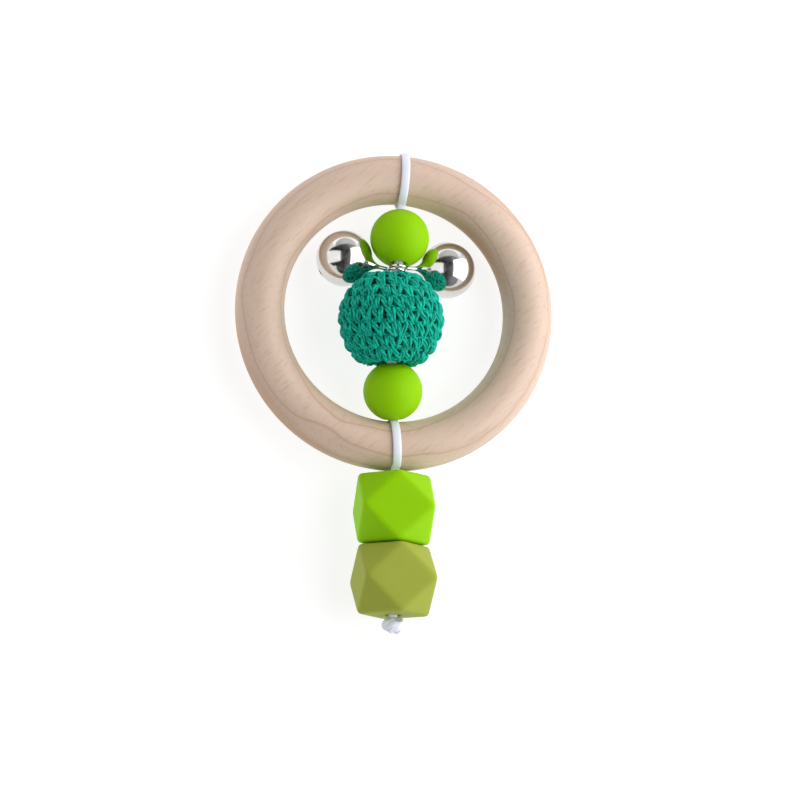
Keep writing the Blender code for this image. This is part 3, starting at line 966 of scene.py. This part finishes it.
@dataclass
class CordLayout:
    """Where the doubled cord runs, from the joints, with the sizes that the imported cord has."""

    width: float = 1.7 * MM
    thickness: float = 0.6 * MM
    strand_gap: float = 0.2 * MM
    wrap_gap: float = 0.15 * MM
    contact_gap: float = 0.2 * MM
    bend_radius: float = 1.2 * MM
    bead_radius: float = 6.0 * MM
    core_radius: float = 8.5 * MM
    ball_rise: float = 0.3 * MM
    ball_drop: float = 1.3 * MM
    ball_shift: float = 0.5 * MM
    knot_length: float = 3.4 * MM

    def __post_init__(self) -> None:
        """Reads the places of the beads, the ball and the bars."""
        self.lower_bar, _ = joint("tail_swing")
        self.lower_bead, self.lower_axis = joint("bead_lower_spin")
        self.upper_bead, self.upper_axis = joint("bead_upper_spin")
        self.ball, self.ball_axis = joint("crochet_ball_spin")
        lime, tail_up = joint("hex_lime_spin")
        olive, _ = joint("hex_olive_spin")
        self.tail_axis = -tail_up
        low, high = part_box("wooden_ring")
        self.wrap_radius = (high.z - low.z) / 2 + self.wrap_gap + self.thickness / 2
        self.offset = (self.thickness + self.strand_gap) / 2
        rise = (self.lower_bar.z - self.upper_bead.z) / self.upper_axis.z
        self.upper_bar = self.upper_bead + rise * self.upper_axis
        self.tail_start = Vector((self.lower_bar.x, self.lower_bar.y, (lime.z + olive.z) / 2))
        self.tail_lift = self.tail_start.z - self.lower_bar.z
        self.knot = box_middle("tail_knot")

    def bend_centre(self, offset: float) -> tuple[float, float]:
        """The middle of a strand's bend between the ring's bar and a bore.

        Args:
            offset: how far from the bore's middle the strand lies.

        Returns:
            How far it is along the run, and aside of it.
        """
        aside = offset + self.bend_radius
        return math.sqrt((self.wrap_radius + self.bend_radius) ** 2 - aside**2), aside

    def bend(self, offset: float, count: int = 10) -> list[tuple[float, float]]:
        """Points from the wrap round the bar to the straight strand in a bore.

        Args:
            offset: how far from the bore's middle the strand lies.
            count: how many steps the bend has.

        Returns:
            (along, aside) points.
        """
        along, aside = self.bend_centre(offset)
        start = math.pi + math.atan2(aside, along)
        angles = [start + (1.5 * math.pi - start) * i / count for i in range(count + 1)]
        r = self.bend_radius
        return [(along + r * math.cos(a), aside + r * math.sin(a)) for a in angles]

    def wrap(self, first: float, last: float) -> list[tuple[float, float]]:
        """Points of the wrap round the bar between two angles in radians, without its ends."""
        count = max(2, round(abs(last - first) / math.radians(5)))
        angles = [first + (last - first) * i / count for i in range(1, count)]
        return [(self.wrap_radius * math.cos(a), self.wrap_radius * math.sin(a)) for a in angles]

    @staticmethod
    def placed(
        points: Iterable[tuple[float, float]], origin: Vector, along: Vector, aside: Vector
    ) -> list[Vector]:
        """(along, aside) points put into space."""
        return [origin + a * along + b * aside for a, b in points]

    @staticmethod
    def over(direction: Vector) -> Vector:
        """The unit vector over a run, at right angles to it and to X."""
        return X.cross(direction).normalized()

    def middle(self) -> list[Vector]:
        """Points on the middle of the doubled cord, from the lower bar's bend to the upper bar's."""
        up = X.cross(self.ball_axis).normalized()
        bend = self.bend_centre(self.offset)[0]
        ball_low = self.ball - self.core_radius * self.ball_axis
        ball_mid = self.ball + self.ball_rise * up
        ball_top = (
            self.ball + self.core_radius * self.ball_axis - self.ball_drop * up + self.ball_shift * X
        )
        lower_out = self.lower_bead + self.bead_radius * self.lower_axis
        upper_in = self.upper_bead - self.bead_radius * self.upper_axis
        stations = [
            (self.lower_bar + (bend + self.strand_gap) * self.lower_axis, self.lower_axis),
            (lower_out, self.lower_axis),
            (ball_low, (ball_mid - lower_out).normalized()),
            (ball_mid, (ball_top - ball_low).normalized()),
            (ball_top, (upper_in - ball_mid).normalized()),
            (upper_in, self.upper_axis),
            (self.upper_bar - bend * self.upper_axis, self.upper_axis),
        ]
        points = []
        for (p0, t0), (p1, t1) in zip(stations, stations[1:]):
            length = (p1 - p0).length
            for s in (i / 8 for i in range(8)):
                points.append(
                    (2 * s**3 - 3 * s**2 + 1) * p0
                    + (s**3 - 2 * s**2 + s) * length * t0
                    + (3 * s**2 - 2 * s**3) * p1
                    + (s**3 - s**2) * length * t1
                )
        return [*points, stations[-1][0]]

    def strand(self, points: list[Vector], side: int) -> list[Vector]:
        """The cord's middle moved to its front (1) or back (-1) strand."""
        shifted = []
        for i, point in enumerate(points):
            ahead = points[min(i + 1, len(points) - 1)] - points[max(i - 1, 0)]
            shifted.append(point + side * self.offset * self.over(ahead))
        return shifted

    def upper_route(self) -> list[Vector]:
        """Up the front strand, round the upper bar and down the back strand."""
        middle = self.middle()
        towards, over = -self.upper_axis, self.over(self.upper_axis)
        bend = self.bend(self.offset)
        angle = math.atan2(bend[0][1], bend[0][0])
        front = self.placed(reversed(bend[:-1]), self.upper_bar, towards, over)
        back = self.placed(bend[:-1], self.upper_bar, towards, -over)
        wrap = self.placed(self.wrap(angle, 2 * math.pi - angle), self.upper_bar, towards, over)
        return self.strand(middle, 1) + front + wrap + back + self.strand(middle, -1)[::-1]

    def lower_route(self, side: int) -> list[Vector]:
        """One strand from the lower bead's bore, round the lower bar, into the first faceted bead.

        Args:
            side: 1 for the front strand and -1 for the back one.

        Returns:
            The strand's points.
        """
        over = side * self.over(self.lower_axis)
        into_bead = self.bend(self.offset)
        start = self.placed(reversed(into_bead), self.lower_bar, self.lower_axis, over)
        into_tail = self.bend(self.offset + side * self.tail_lift)
        end = self.placed(into_tail, self.lower_bar, self.tail_axis, side * Z)
        first = math.atan2(into_bead[0][1], into_bead[0][0])
        lean = side * math.asin(self.lower_axis.z)
        last = math.pi - math.atan2(into_tail[0][1], into_tail[0][0]) - lean
        wrap = self.placed(self.wrap(first, last), self.lower_bar, self.lower_axis, over)
        return start + wrap + end

    def tail_route(self, side: int) -> list[Vector]:
        """One straight strand through both faceted beads, up to the knot.

        Args:
            side: 1 for the front strand and -1 for the back one.

        Returns:
            The strand's points.
        """
        first = self.bend_centre(self.offset + side * self.tail_lift)[0]
        last = (self.knot - self.tail_start).length - self.knot_length / 2 + self.contact_gap
        lift = side * self.offset * Z
        steps = np.linspace(first, last, 24).tolist()
        return [self.tail_start + s * self.tail_axis + lift for s in steps]


@dataclass
class CordWork:
    """The satin cord: one fold over the upper bar, two strands round the lower one, and the tail."""

    finish: SatinCord
    layout: CordLayout

    def build(self) -> None:
        """Builds and dresses every strand."""
        material = self.finish.material()
        upper = self.piece("satin_cord_upper", self.layout.upper_route(), material)
        stand_in(upper, ["cord_upper"], "string")
        for side, word in ((1, "front"), (-1, "back")):
            lower = self.piece(f"satin_cord_lower_{word}", self.layout.lower_route(side), material)
            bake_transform(lower)
            stand_in(lower, [f"cord_lower_{word}"])
            tail = self.piece(f"satin_cord_tail_{word}", self.layout.tail_route(side), material)
            stand_in(tail, [f"cord_tail_{word}"], "tail")

    def piece(self, name: str, route: list[Vector], material: bpy.types.Material) -> bpy.types.Object:
        """One strand.

        Args:
            name: its name.
            route: the points that it follows.
            material: its material.

        Returns:
            The strand as an object.
        """
        sweep = Sweep.oval(self.layout.width, self.layout.thickness)
        path = end_dense(np.array([tuple(p) for p in route]), sweep.cap)
        shape = Shape()
        sweep.along(shape, path, np.tile((1.0, 0.0, 0.0), (len(path), 1)))
        return shape.piece(name, material)


@dataclass
class TailKnot:
    """The overhand knot that ends the cord, pulled tight, with two short melted ends."""

    finish: SatinCord
    layout: CordLayout
    strand_width: float = 1.7 * MM
    strand_thickness: float = 0.85 * MM
    melt_length: float = 0.5 * MM
    sides: int = 18
    samples: int = 70

    def build(self) -> None:
        """Builds the knot, drawn out to fill its node's box, and dresses it."""
        low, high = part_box("tail_knot")
        size, centre = high - low, (low + high) / 2
        shape = Shape()
        sweep = Sweep.oval(self.strand_width, self.strand_thickness, self.sides)
        for path, across in self.loops():
            points = smooth_path(path, self.samples)
            scaled = points * np.array((size.x, size.y, size.z)) + np.array(centre)
            widths = widths_at(smooth_path(across, self.samples), scaled, sweep.cap)
            length = np.linalg.norm(np.diff(scaled, axis=0), axis=1).sum()
            sweep.along(shape, end_dense(scaled, sweep.cap), widths, self.burnt(length))
        every = np.concatenate(shape.points)
        least, most = every.min(axis=0), every.max(axis=0)
        drawn = [(p - least) / (most - least) * np.array(size) + np.array(low) for p in shape.points]
        shape.points = drawn
        knot = shape.piece("satin_knot", self.finish.material())
        stand_in(knot, ["tail_knot"], "tail")

    def burnt(self, length: float) -> Callable[[np.ndarray], np.ndarray]:
        """Melts a strand at its last stretch.

        Args:
            length: the strand's length.

        Returns:
            What makes the melt, from 0 to 1, of lengths along the strand.
        """
        return lambda gone: np.clip((gone - length + self.melt_length) / self.melt_length, 0, 1)

    @staticmethod
    def loops() -> list[tuple[list, list]]:
        """The knot's two strands, in shares of its box.

        Returns:
            For each strand, its stations and its width's directions there.
        """
        wrap = [
            (-0.08, 0.45, 0.05),
            (-0.22, 0.18, 0.22),
            (-0.30, -0.08, 0.18),
            (-0.12, -0.22, 0.27),
            (0.16, -0.14, 0.28),
            (0.32, 0.04, 0.10),
            (0.24, 0.18, -0.18),
            (-0.02, 0.20, -0.30),
            (-0.28, 0.10, -0.16),
            (-0.24, -0.10, 0.06),
            (0.00, -0.18, 0.08),
            (0.14, -0.32, 0.10),
            (0.24, -0.40, 0.08),
        ]
        lean = [
            (1, 0, 0),
            (0.9, 0.3, 0.2),
            (0.4, 0.8, 0.3),
            (0.1, 1, 0.1),
            (-0.2, 1, 0.2),
            (0, 1, 0),
            (0, 1, 0),
            (0, 1, 0),
            (0.2, 1, 0),
            (0.5, 0.7, 0.2),
            (0.8, 0.5, 0),
            (0.9, 0.4, 0.2),
            (0.9, 0.2, 0.3),
        ]
        second = [
            (0.10, 0.45, -0.02),
            (0.20, 0.24, 0.12),
            (0.12, 0.02, 0.30),
            (-0.10, -0.02, 0.33),
            (-0.30, 0.00, 0.02),
            (-0.16, -0.04, -0.26),
            (0.14, -0.10, -0.28),
            (0.26, -0.16, -0.05),
            (0.08, -0.26, 0.16),
            (-0.10, -0.36, 0.16),
            (-0.20, -0.42, 0.10),
        ]
        second_lean = [
            (1, 0, 0),
            (0.8, 0.5, 0.2),
            (0.1, 1, 0),
            (0, 1, 0.1),
            (0, 1, 0),
            (0, 1, 0),
            (0, 1, 0.1),
            (0.2, 1, 0.2),
            (0.7, 0.7, 0),
            (0.9, 0.3, -0.1),
            (1, 0.1, -0.1),
        ]
        return [(wrap, lean), (second, second_lean)]


def widths_at(widths: np.ndarray, path: np.ndarray, cap: float) -> np.ndarray:
    """Width directions for a path that end_dense has divided.

    Args:
        widths: one direction for each point of the path before that.
        path: the path before that.
        cap: the length of each end.

    Returns:
        One direction for each point after it.
    """
    dense = end_dense(path, cap)
    near = np.linalg.norm(dense[:, None] - path[None], axis=2).argmin(1)
    return widths[near]


@dataclass
class CrochetBall:
    """The wooden core bead in its cover of single crochet, worked in rounds about the cord."""

    yarn: CottonYarn
    core: SandedBeech
    ply_count: int = 3
    ply_radius: float = 0.27 * MM
    lay_radius: float = 0.31 * MM
    twist_pitch: float = 7.5 * MM
    stitch_width: float = 2.6 * MM
    lower_half: float = 11.6 * MM
    mouth: float = 3.9 * MM
    first_round: float = -62.5
    last_round: float = 60.0
    rounds: int = 9
    gap: float = 0.05 * MM
    bead_radius: float = 6.0 * MM
    ply_sides: int = 7
    # How much less the ball reaches along the cord than across it, at its upper side.
    flattening: float = 0.45 * MM
    sink: float = 0.6 * MM
    sink_spread: float = 0.12 * MM
    fewest_stitches: int = 9
    # How far each round starts past the one below it, in stitches.
    round_shift: float = 0.17
    seed: int = 7

    def build(self) -> None:
        """Builds the stitches, and dresses the cover and the core."""
        self.centre, self.axis = joint("crochet_ball_spin")
        low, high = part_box("crochet_cover")
        self.girth = (high.x - low.x) / 2
        self.half = self.girth - self.flattening
        self.turn = turn_to(self.axis)
        to_bead = joint("bead_lower_spin")[0] - self.centre
        self.bead_depth = -to_bead.dot(self.axis)
        self.bead_off = (to_bead + self.bead_depth * self.axis).length
        self.dice = random.Random(self.seed)
        shape = Shape()
        for index, latitude in enumerate(np.linspace(self.first_round, self.last_round, self.rounds)):
            self.work_round(shape, latitude, index)
        cover = shape.piece("crocheted_cotton", self.yarn.material())
        stand_in(cover, ["crochet_cover"], "crochet_ball")
        refinish("wooden_core_bead", self.core, self.core.material())

    @property
    def row_height(self) -> float:
        """How far apart the rounds lie."""
        return math.radians((self.last_round - self.first_round) / (self.rounds - 1)) * self.girth

    def surface(self, latitude: float, turn: float, depth: float) -> np.ndarray:
        """A point in the cover.

        Args:
            latitude: the angle from the ball's middle towards its upper mouth, in radians.
            turn: the angle about the cord, in radians.
            depth: how far under the cover's outline it lies.

        Returns:
            The point.
        """
        out = (self.girth - depth) * math.cos(latitude)
        if latitude > 0:
            out = max(out, self.mouth)
            up = (self.half - depth) * math.sin(latitude)
        else:
            up = max((self.lower_half - depth) * math.sin(latitude), self.seat(out))
        local = Vector((out * math.cos(turn), out * math.sin(turn), up))
        return np.array(self.centre + self.turn.to_3x3() @ local)

    def seat(self, out: float) -> float:
        """How low the yarn can lie and still clear the lower bead at every turn of the ball.

        Args:
            out: the yarn's distance from the ball's axis.

        Returns:
            The lowest place along the axis.
        """
        clear = self.bead_radius + self.gap + self.ply_radius + self.lay_radius
        aside = max(out - self.bead_off, 0)
        return -self.bead_depth + math.sqrt(max(clear**2 - aside**2, 0))

    def work_round(self, shape: Shape, latitude: float, index: int) -> None:
        """Works one round of stitches.

        Args:
            shape: what the yarn is added to.
            latitude: the round's angle from the ball's middle.
            index: the round's number, from the lower mouth.
        """
        level = math.radians(latitude)
        round_radius = self.girth * math.cos(level)
        count = max(self.fewest_stitches, round(2 * math.pi * round_radius / self.stitch_width))
        for i in range(count):
            turn = 2 * math.pi * (i + 0.5 * (index % 2) + self.round_shift * index) / count
            self.stitch(shape, level, turn, 2 * math.pi / count)

    def stitch(self, shape: Shape, level: float, turn: float, width: float) -> None:
        """Works one stitch: its two front legs, and the bar of its top loop.

        Args:
            shape: what the yarn is added to.
            level: the latitude of the stitch, in radians.
            turn: its angle about the cord, in radians.
            width: the angle about the cord that it takes up, in radians.
        """
        roll = self.dice.gauss
        tall = self.row_height / self.girth
        sink = self.sink + abs(roll(0, self.sink_spread))
        lean = 0.20 + roll(0, 0.13)
        open_left, open_right = 0.40 + roll(0, 0.07), 0.40 + roll(0, 0.07)
        legs = [
            (-open_left - 0.06, 0.66, 1.5),
            (-open_left, 0.44, 0.55),
            (-open_left * 0.72 + lean * 0.3, 0.14, 0.02),
            (-open_left * 0.36 + lean * 0.7, -0.20, 0.0),
            (-0.07 + lean, -0.48, 0.42),
            (lean, -0.60, 1.15),
            (0.08 + lean, -0.48, 0.42),
            (open_right * 0.45 + lean * 0.6, -0.20, 0.0),
            (open_right * 0.80 + lean * 0.3, 0.14, 0.02),
            (open_right, 0.44, 0.55),
            (open_right + 0.06, 0.66, 1.5),
        ]
        bar = [
            (-0.62, 0.34, 1.3),
            (-0.34, 0.46, 0.75),
            (0.05, 0.50, 0.55 + roll(0, 0.08)),
            (0.40, 0.46, 0.75),
            (0.66, 0.34, 1.3),
        ]
        back = [(-0.6, -0.1, 1.5), (-0.2, 0.02, 1.25), (0.2, -0.05, 1.25), (0.6, 0.06, 1.5)]
        for stations, samples in ((legs, 30), (bar, 10), (back, 8)):
            path = []
            for u, v, depth in stations:
                jitter = roll(0, 0.03)
                at = level + (v + jitter) * tall
                path.append(self.surface(at, turn + (u + jitter) * width, sink + depth * MM))
            self.ply(shape, smooth_path(path, samples), roll(0, 1.5))

    def ply(self, shape: Shape, path: np.ndarray, phase: float) -> None:
        """Lays the yarn's plies round a path.

        Args:
            shape: what the plies are added to.
            path: the yarn's middle.
            phase: where the twist starts, in radians.
        """
        ahead = unit(np.gradient(path, axis=0))
        outward = path - np.array(self.centre)
        over = unit(outward - (outward * ahead).sum(1, keepdims=True) * ahead)
        side = np.cross(ahead, over)
        gone = np.concatenate([[0], np.cumsum(np.linalg.norm(np.diff(path, axis=0), axis=1))])
        circle = Sweep.oval(2 * self.ply_radius, 2 * self.ply_radius, self.ply_sides, 2.0)
        for i in range(self.ply_count):
            angle = (phase + 2 * math.pi * (i / self.ply_count + gone / self.twist_pitch))[:, None]
            lay = self.lay_radius * (np.cos(angle) * side + np.sin(angle) * over)
            Sweep(circle.section).along(shape, path + lay, over)


def cut_away(piece: bpy.types.Object, cutter: bpy.types.Object) -> None:
    """Cuts one shape from a piece for good, and removes the cutter.

    Args:
        piece: what is cut.
        cutter: the shape that is taken away.
    """
    bpy.context.scene.collection.objects.link(cutter)
    cut = piece.modifiers.new("Cut", "BOOLEAN")
    cut.object, cut.solver = cutter, "EXACT"
    graph = bpy.context.evaluated_depsgraph_get()
    done = bpy.data.meshes.new_from_object(piece.evaluated_get(graph))
    piece.modifiers.remove(cut)
    piece.data = done
    done.set_sharp_from_angle(angle=math.radians(Shape.crease))
    bpy.data.objects.remove(cutter, do_unlink=True)


@dataclass
class Bell:
    """A small bell of two pressed cups, whose upper cup is drawn out to a neck for its eye."""

    side: str
    finish: PlatedMetal
    pellet_finish: PlatedMetal
    radius: float = 5.75 * MM
    wall: float = 0.4 * MM
    seam: float = 0.004 * MM
    neck_radius: float = 0.4 * MM
    neck_fillet: float = 2.8 * MM
    eye_clearance: float = 1.9 * MM
    slit_width: float = 0.8 * MM
    slit_hole: float = 1.6 * MM
    slit_span: float = 100.0
    # How far a cutter reaches past the skin that it cuts.
    cut_reach: float = 1.0 * MM
    # How much of the neck's radius its tip is rounded by.
    tip_softness: float = 0.6
    hole_sides: int = 40
    steps: int = 96

    def build(self) -> None:
        """Builds both cups, cuts the sound slit, and dresses the eye and the pellet."""
        name = f"bell_{self.side}"
        eye, axis = joint(f"{name}_swing")
        centre = box_middle(f"{name}_pellet")
        centre.z = self.radius
        material = self.finish.material()
        place = Matrix.Translation(centre) @ turn_to(eye - centre, axis)
        upper = Shape()
        profile = self.upper_profile((eye - centre).length)
        upper.grid(moved(turned(profile, self.steps), place), (True, True))
        cup = upper.piece(f"plated_{name}_upper_cup", material)
        stand_in(cup, [f"{name}_upper_cup"], name)
        lower = Shape()
        profile = self.lower_profile()
        lower.grid(moved(turned(profile, self.steps), place), (True, True))
        cup = lower.piece(f"plated_{name}_lower_cup", material)
        self.cut_slit(cup, place)
        stand_in(cup, [f"{name}_lower_cup"], name)
        refinish(f"{name}_eye", self.finish, material)
        refinish(f"{name}_pellet", self.pellet_finish, self.pellet_finish.material())

    def upper_profile(self, arm: float) -> np.ndarray:
        """The upper cup's outline, from its neck's tip over the outside to the inside.

        Args:
            arm: from the bell's centre to its eye's centre.

        Returns:
            (out, up) points that close on themselves.
        """
        tip = arm - self.eye_clearance
        out = self.neck_radius + self.neck_fillet
        up = math.sqrt((self.radius + self.neck_fillet) ** 2 - out**2)
        shoulder = math.degrees(math.atan2(up, out))
        rim = math.degrees(self.seam / self.radius)
        inner = self.radius - self.wall
        soft, flat = self.neck_radius * self.tip_softness, self.neck_radius * (1 - self.tip_softness)
        return np.vstack(
            [
                [(1e-6, inner), (1e-6, tip)],
                arc((flat, tip - soft), soft, 90, 0, 5),
                arc((out, up), self.neck_fillet, 180, 180 + shoulder, 24),
                arc((0, 0), self.radius, shoulder, rim, 40)[1:],
                arc((0, 0), inner, rim, 89.9, 30),
            ]
        )[::-1]

    def cut_slit(self, cup: bpy.types.Object, place: Matrix) -> None:
        """Cuts the sound slit and the round hole at each of its ends.

        Args:
            cup: the lower cup.
            place: the bell's own frame.
        """
        half = math.radians(self.slit_span / 2)
        deep = self.radius * (1 - math.cos(half)) + 2 * self.cut_reach
        middle = self.radius + self.cut_reach - deep / 2
        size = Vector((2 * self.radius * math.sin(half), self.slit_width, deep))
        slab = bmesh.new()
        bmesh.ops.create_cube(slab, size=1, matrix=place @ Matrix.LocRotScale(-middle * Z, None, size))
        tools = [slab]
        for side in (-1, 1):
            out = Vector((side * math.sin(half), 0, -math.cos(half)))
            turn = out.to_track_quat("Z", "Y").to_matrix().to_4x4()
            pin = bmesh.new()
            bmesh.ops.create_cone(
                pin,
                cap_ends=True,
                segments=self.hole_sides,
                radius1=self.slit_hole / 2,
                radius2=self.slit_hole / 2,
                depth=2 * self.cut_reach,
                matrix=place @ Matrix.Translation(self.radius * out) @ turn,
            )
            tools.append(pin)
        for tool in tools:
            mesh = bpy.data.meshes.new("slit_cutter")
            tool.to_mesh(mesh)
            tool.free()
            cut_away(cup, bpy.data.objects.new("slit_cutter", mesh))

    def lower_profile(self) -> np.ndarray:
        """The lower cup's outline, closed on itself."""
        rim = math.degrees(self.seam / self.radius)
        outside = arc((0, 0), self.radius, -rim, -89.99, 48)
        inside = arc((0, 0), self.radius - self.wall, -89.99, -rim, 30)
        return np.vstack([outside, inside])[::-1]


# --------------------------------------------------------------------------------------- studio


@dataclass
class SoftBox:
    """A big soft light, aimed at the rattle."""

    name: str
    azimuth: float
    tilt: float
    distance: float
    width: float
    height: float
    power: float

    def build(self, target: Vector) -> None:
        """Hangs the light.

        Args:
            target: what it's aimed at.
        """
        light = bpy.data.lights.new(self.name, "AREA")
        light.shape, light.size, light.size_y = "RECTANGLE", self.width, self.height
        light.energy = self.power
        made = bpy.data.objects.new(self.name, light)
        a, t = math.radians(self.azimuth), math.radians(self.tilt)
        out = Vector((math.sin(t) * math.cos(a), math.sin(t) * math.sin(a), math.cos(t)))
        made.location = target + self.distance * out
        made.rotation_euler = out.to_track_quat("Z", "Y").to_euler()
        made.visible_camera = False
        bpy.context.scene.collection.objects.link(made)
        LOG.info("%s hung", self.name)


@dataclass
class Studio:
    """A plain pale floor, soft boxes at both sides and a camera over the rattle."""

    paper: StudioPaper
    floor_size: float = 3.0
    camera_azimuth: float = -42.4
    camera_elevation: float = 76.7
    camera_distance: float = 0.95
    frame_width: float = 162.5 * MM
    aim: tuple[float, float] = (1.22 * MM, -17.7 * MM)
    sensor: float = 36.0
    sky_dark: str = "#242426"
    sky_light: str = "#96989b"
    sky_patches: float = 1.7
    # How much brighter the surroundings are towards +X, beside their patches, and where they turn pale.
    sky_slope: float = 0.34
    sky_stops: tuple[float, float] = (0.28, 0.72)
    sky_strength: float = 0.85
    boxes: tuple[SoftBox, ...] = (
        SoftBox("right_box", 0.0, 51.0, 0.75, 1.05, 0.95, 8.4),
        SoftBox("left_box", 180.0, 52.0, 0.75, 0.60, 0.80, 1.7),
        SoftBox("far_card", 90.0, 68.0, 0.80, 1.30, 0.50, 0.9),
    )

    def build(self) -> None:
        """Lays the floor, hangs the lights and sets up the camera."""
        target = box_middle("wooden_ring")
        self.lay_floor()
        for box in self.boxes:
            box.build(target)
        self.set_sky()
        self.set_camera(target)

    def lay_floor(self) -> None:
        """Lays a sheet of paper that curves up at its edges."""
        steps = 24
        at = np.linspace(-self.floor_size / 2, self.floor_size / 2, steps)
        x, y = np.meshgrid(at, at)
        far = np.clip(np.hypot(x, y) - self.floor_size / 3, 0, None)
        shape = Shape()
        shape.grid(np.stack([x, y, far**2], axis=-1), (False, False))
        floor = shape.piece("paper_floor", self.paper.material())
        LOG.info("floor laid")

    def set_sky(self) -> None:
        """Sets the studio's dim surroundings and an untouched colour rendering."""
        scene = bpy.context.scene
        scene.world = bpy.data.worlds.new("dim_studio")
        scene.world.use_nodes = True
        tree = scene.world.node_tree
        place = add_node(tree, "TexCoord").outputs["Generated"]
        side = add_node(tree, "SeparateXYZ", inputs={"Vector": place})
        patches = {"Scale": self.sky_patches, "Detail": 1.0, "Vector": place}
        cloud = add_node(tree, "TexNoise", inputs=patches)
        mixed = multiply_add(tree, side.outputs["X"], self.sky_slope, cloud.outputs["Fac"])
        first, last = self.sky_stops
        shade = ramp(tree, mixed, (first, self.sky_dark), (last, self.sky_light))
        set_inputs(tree, tree.nodes["Background"], {"Strength": self.sky_strength, "Color": shade})
        scene.view_settings.view_transform = "Standard"

    def set_camera(self, target: Vector) -> None:
        """Sets the camera over the rattle, with the cord upright in its view.

        Args:
            target: the ring's middle.
        """
        a, e = math.radians(self.camera_azimuth), math.radians(self.camera_elevation)
        back = Vector((math.sin(a) * math.cos(e), -math.cos(a) * math.cos(e), math.sin(e)))
        right = Y.cross(back).normalized()
        up = back.cross(right)
        camera = bpy.data.cameras.new("camera")
        camera.sensor_width = self.sensor
        camera.lens = self.sensor * self.camera_distance / self.frame_width
        camera.clip_start, camera.clip_end = 0.01, 10.0
        made = bpy.data.objects.new("camera", camera)
        turn = Matrix((right, up, back)).transposed().to_4x4()
        spot = target + self.aim[0] * right + self.aim[1] * up + self.camera_distance * back
        made.matrix_world = Matrix.Translation(spot) @ turn
        bpy.context.scene.collection.objects.link(made)
        bpy.context.scene.camera = made
        LOG.info("camera set")


def main() -> None:
    """Builds every piece of the rattle, and the studio round it."""
    logging.basicConfig(level=logging.INFO, format="%(name)s: %(message)s")
    Studio(StudioPaper("backdrop_paper", "")).build()
    WoodenRing(SandedBeech("sanded_beech", "ring_wood")).build()
    lime = Silicone("lime_silicone", "lime_silicone")
    olive = Silicone("olive_silicone", "olive_silicone", colour="#9ca53f", glow=0.02)
    Bead("round_bead_upper", "bead_upper_spin", "bead_upper", BeadForm.ROUND, lime).build()
    Bead("round_bead_lower", "bead_lower_spin", "bead_lower", BeadForm.ROUND, lime).build()
    Bead("hex_bead_lime", "hex_lime_spin", "hex_lime", BeadForm.FACETED, lime).build()
    Bead("hex_bead_olive", "hex_olive_spin", "hex_olive", BeadForm.FACETED, olive).build()
    cotton = CottonYarn("teal_cotton", "teal_yarn")
    # Painted shade: the core is beech with its growth layers, drawn in dark browns because it lies in the
    # shade of the yarn over it.
    core = SandedBeech(
        "core_beech_painted_shade", "core_wood", early_wood="#5a4636", pale_wood="#644e3c", late_wood="#4c3a2c"
    )
    CrochetBall(cotton, core).build()
    satin = SatinCord("white_satin", "white_cord")
    layout = CordLayout()
    CordWork(satin, layout).build()
    TailKnot(satin, layout).build()
    nickel = PlatedMetal("nickel_plate", "bell_metal")
    steel = PlatedMetal("pellet_steel", "pellet_steel", colour="#9a9a9c", roughness=0.3)
    Bell("left", nickel, steel).build()
    Bell("right", nickel, steel).build()


if __name__ == "__main__":
    main()
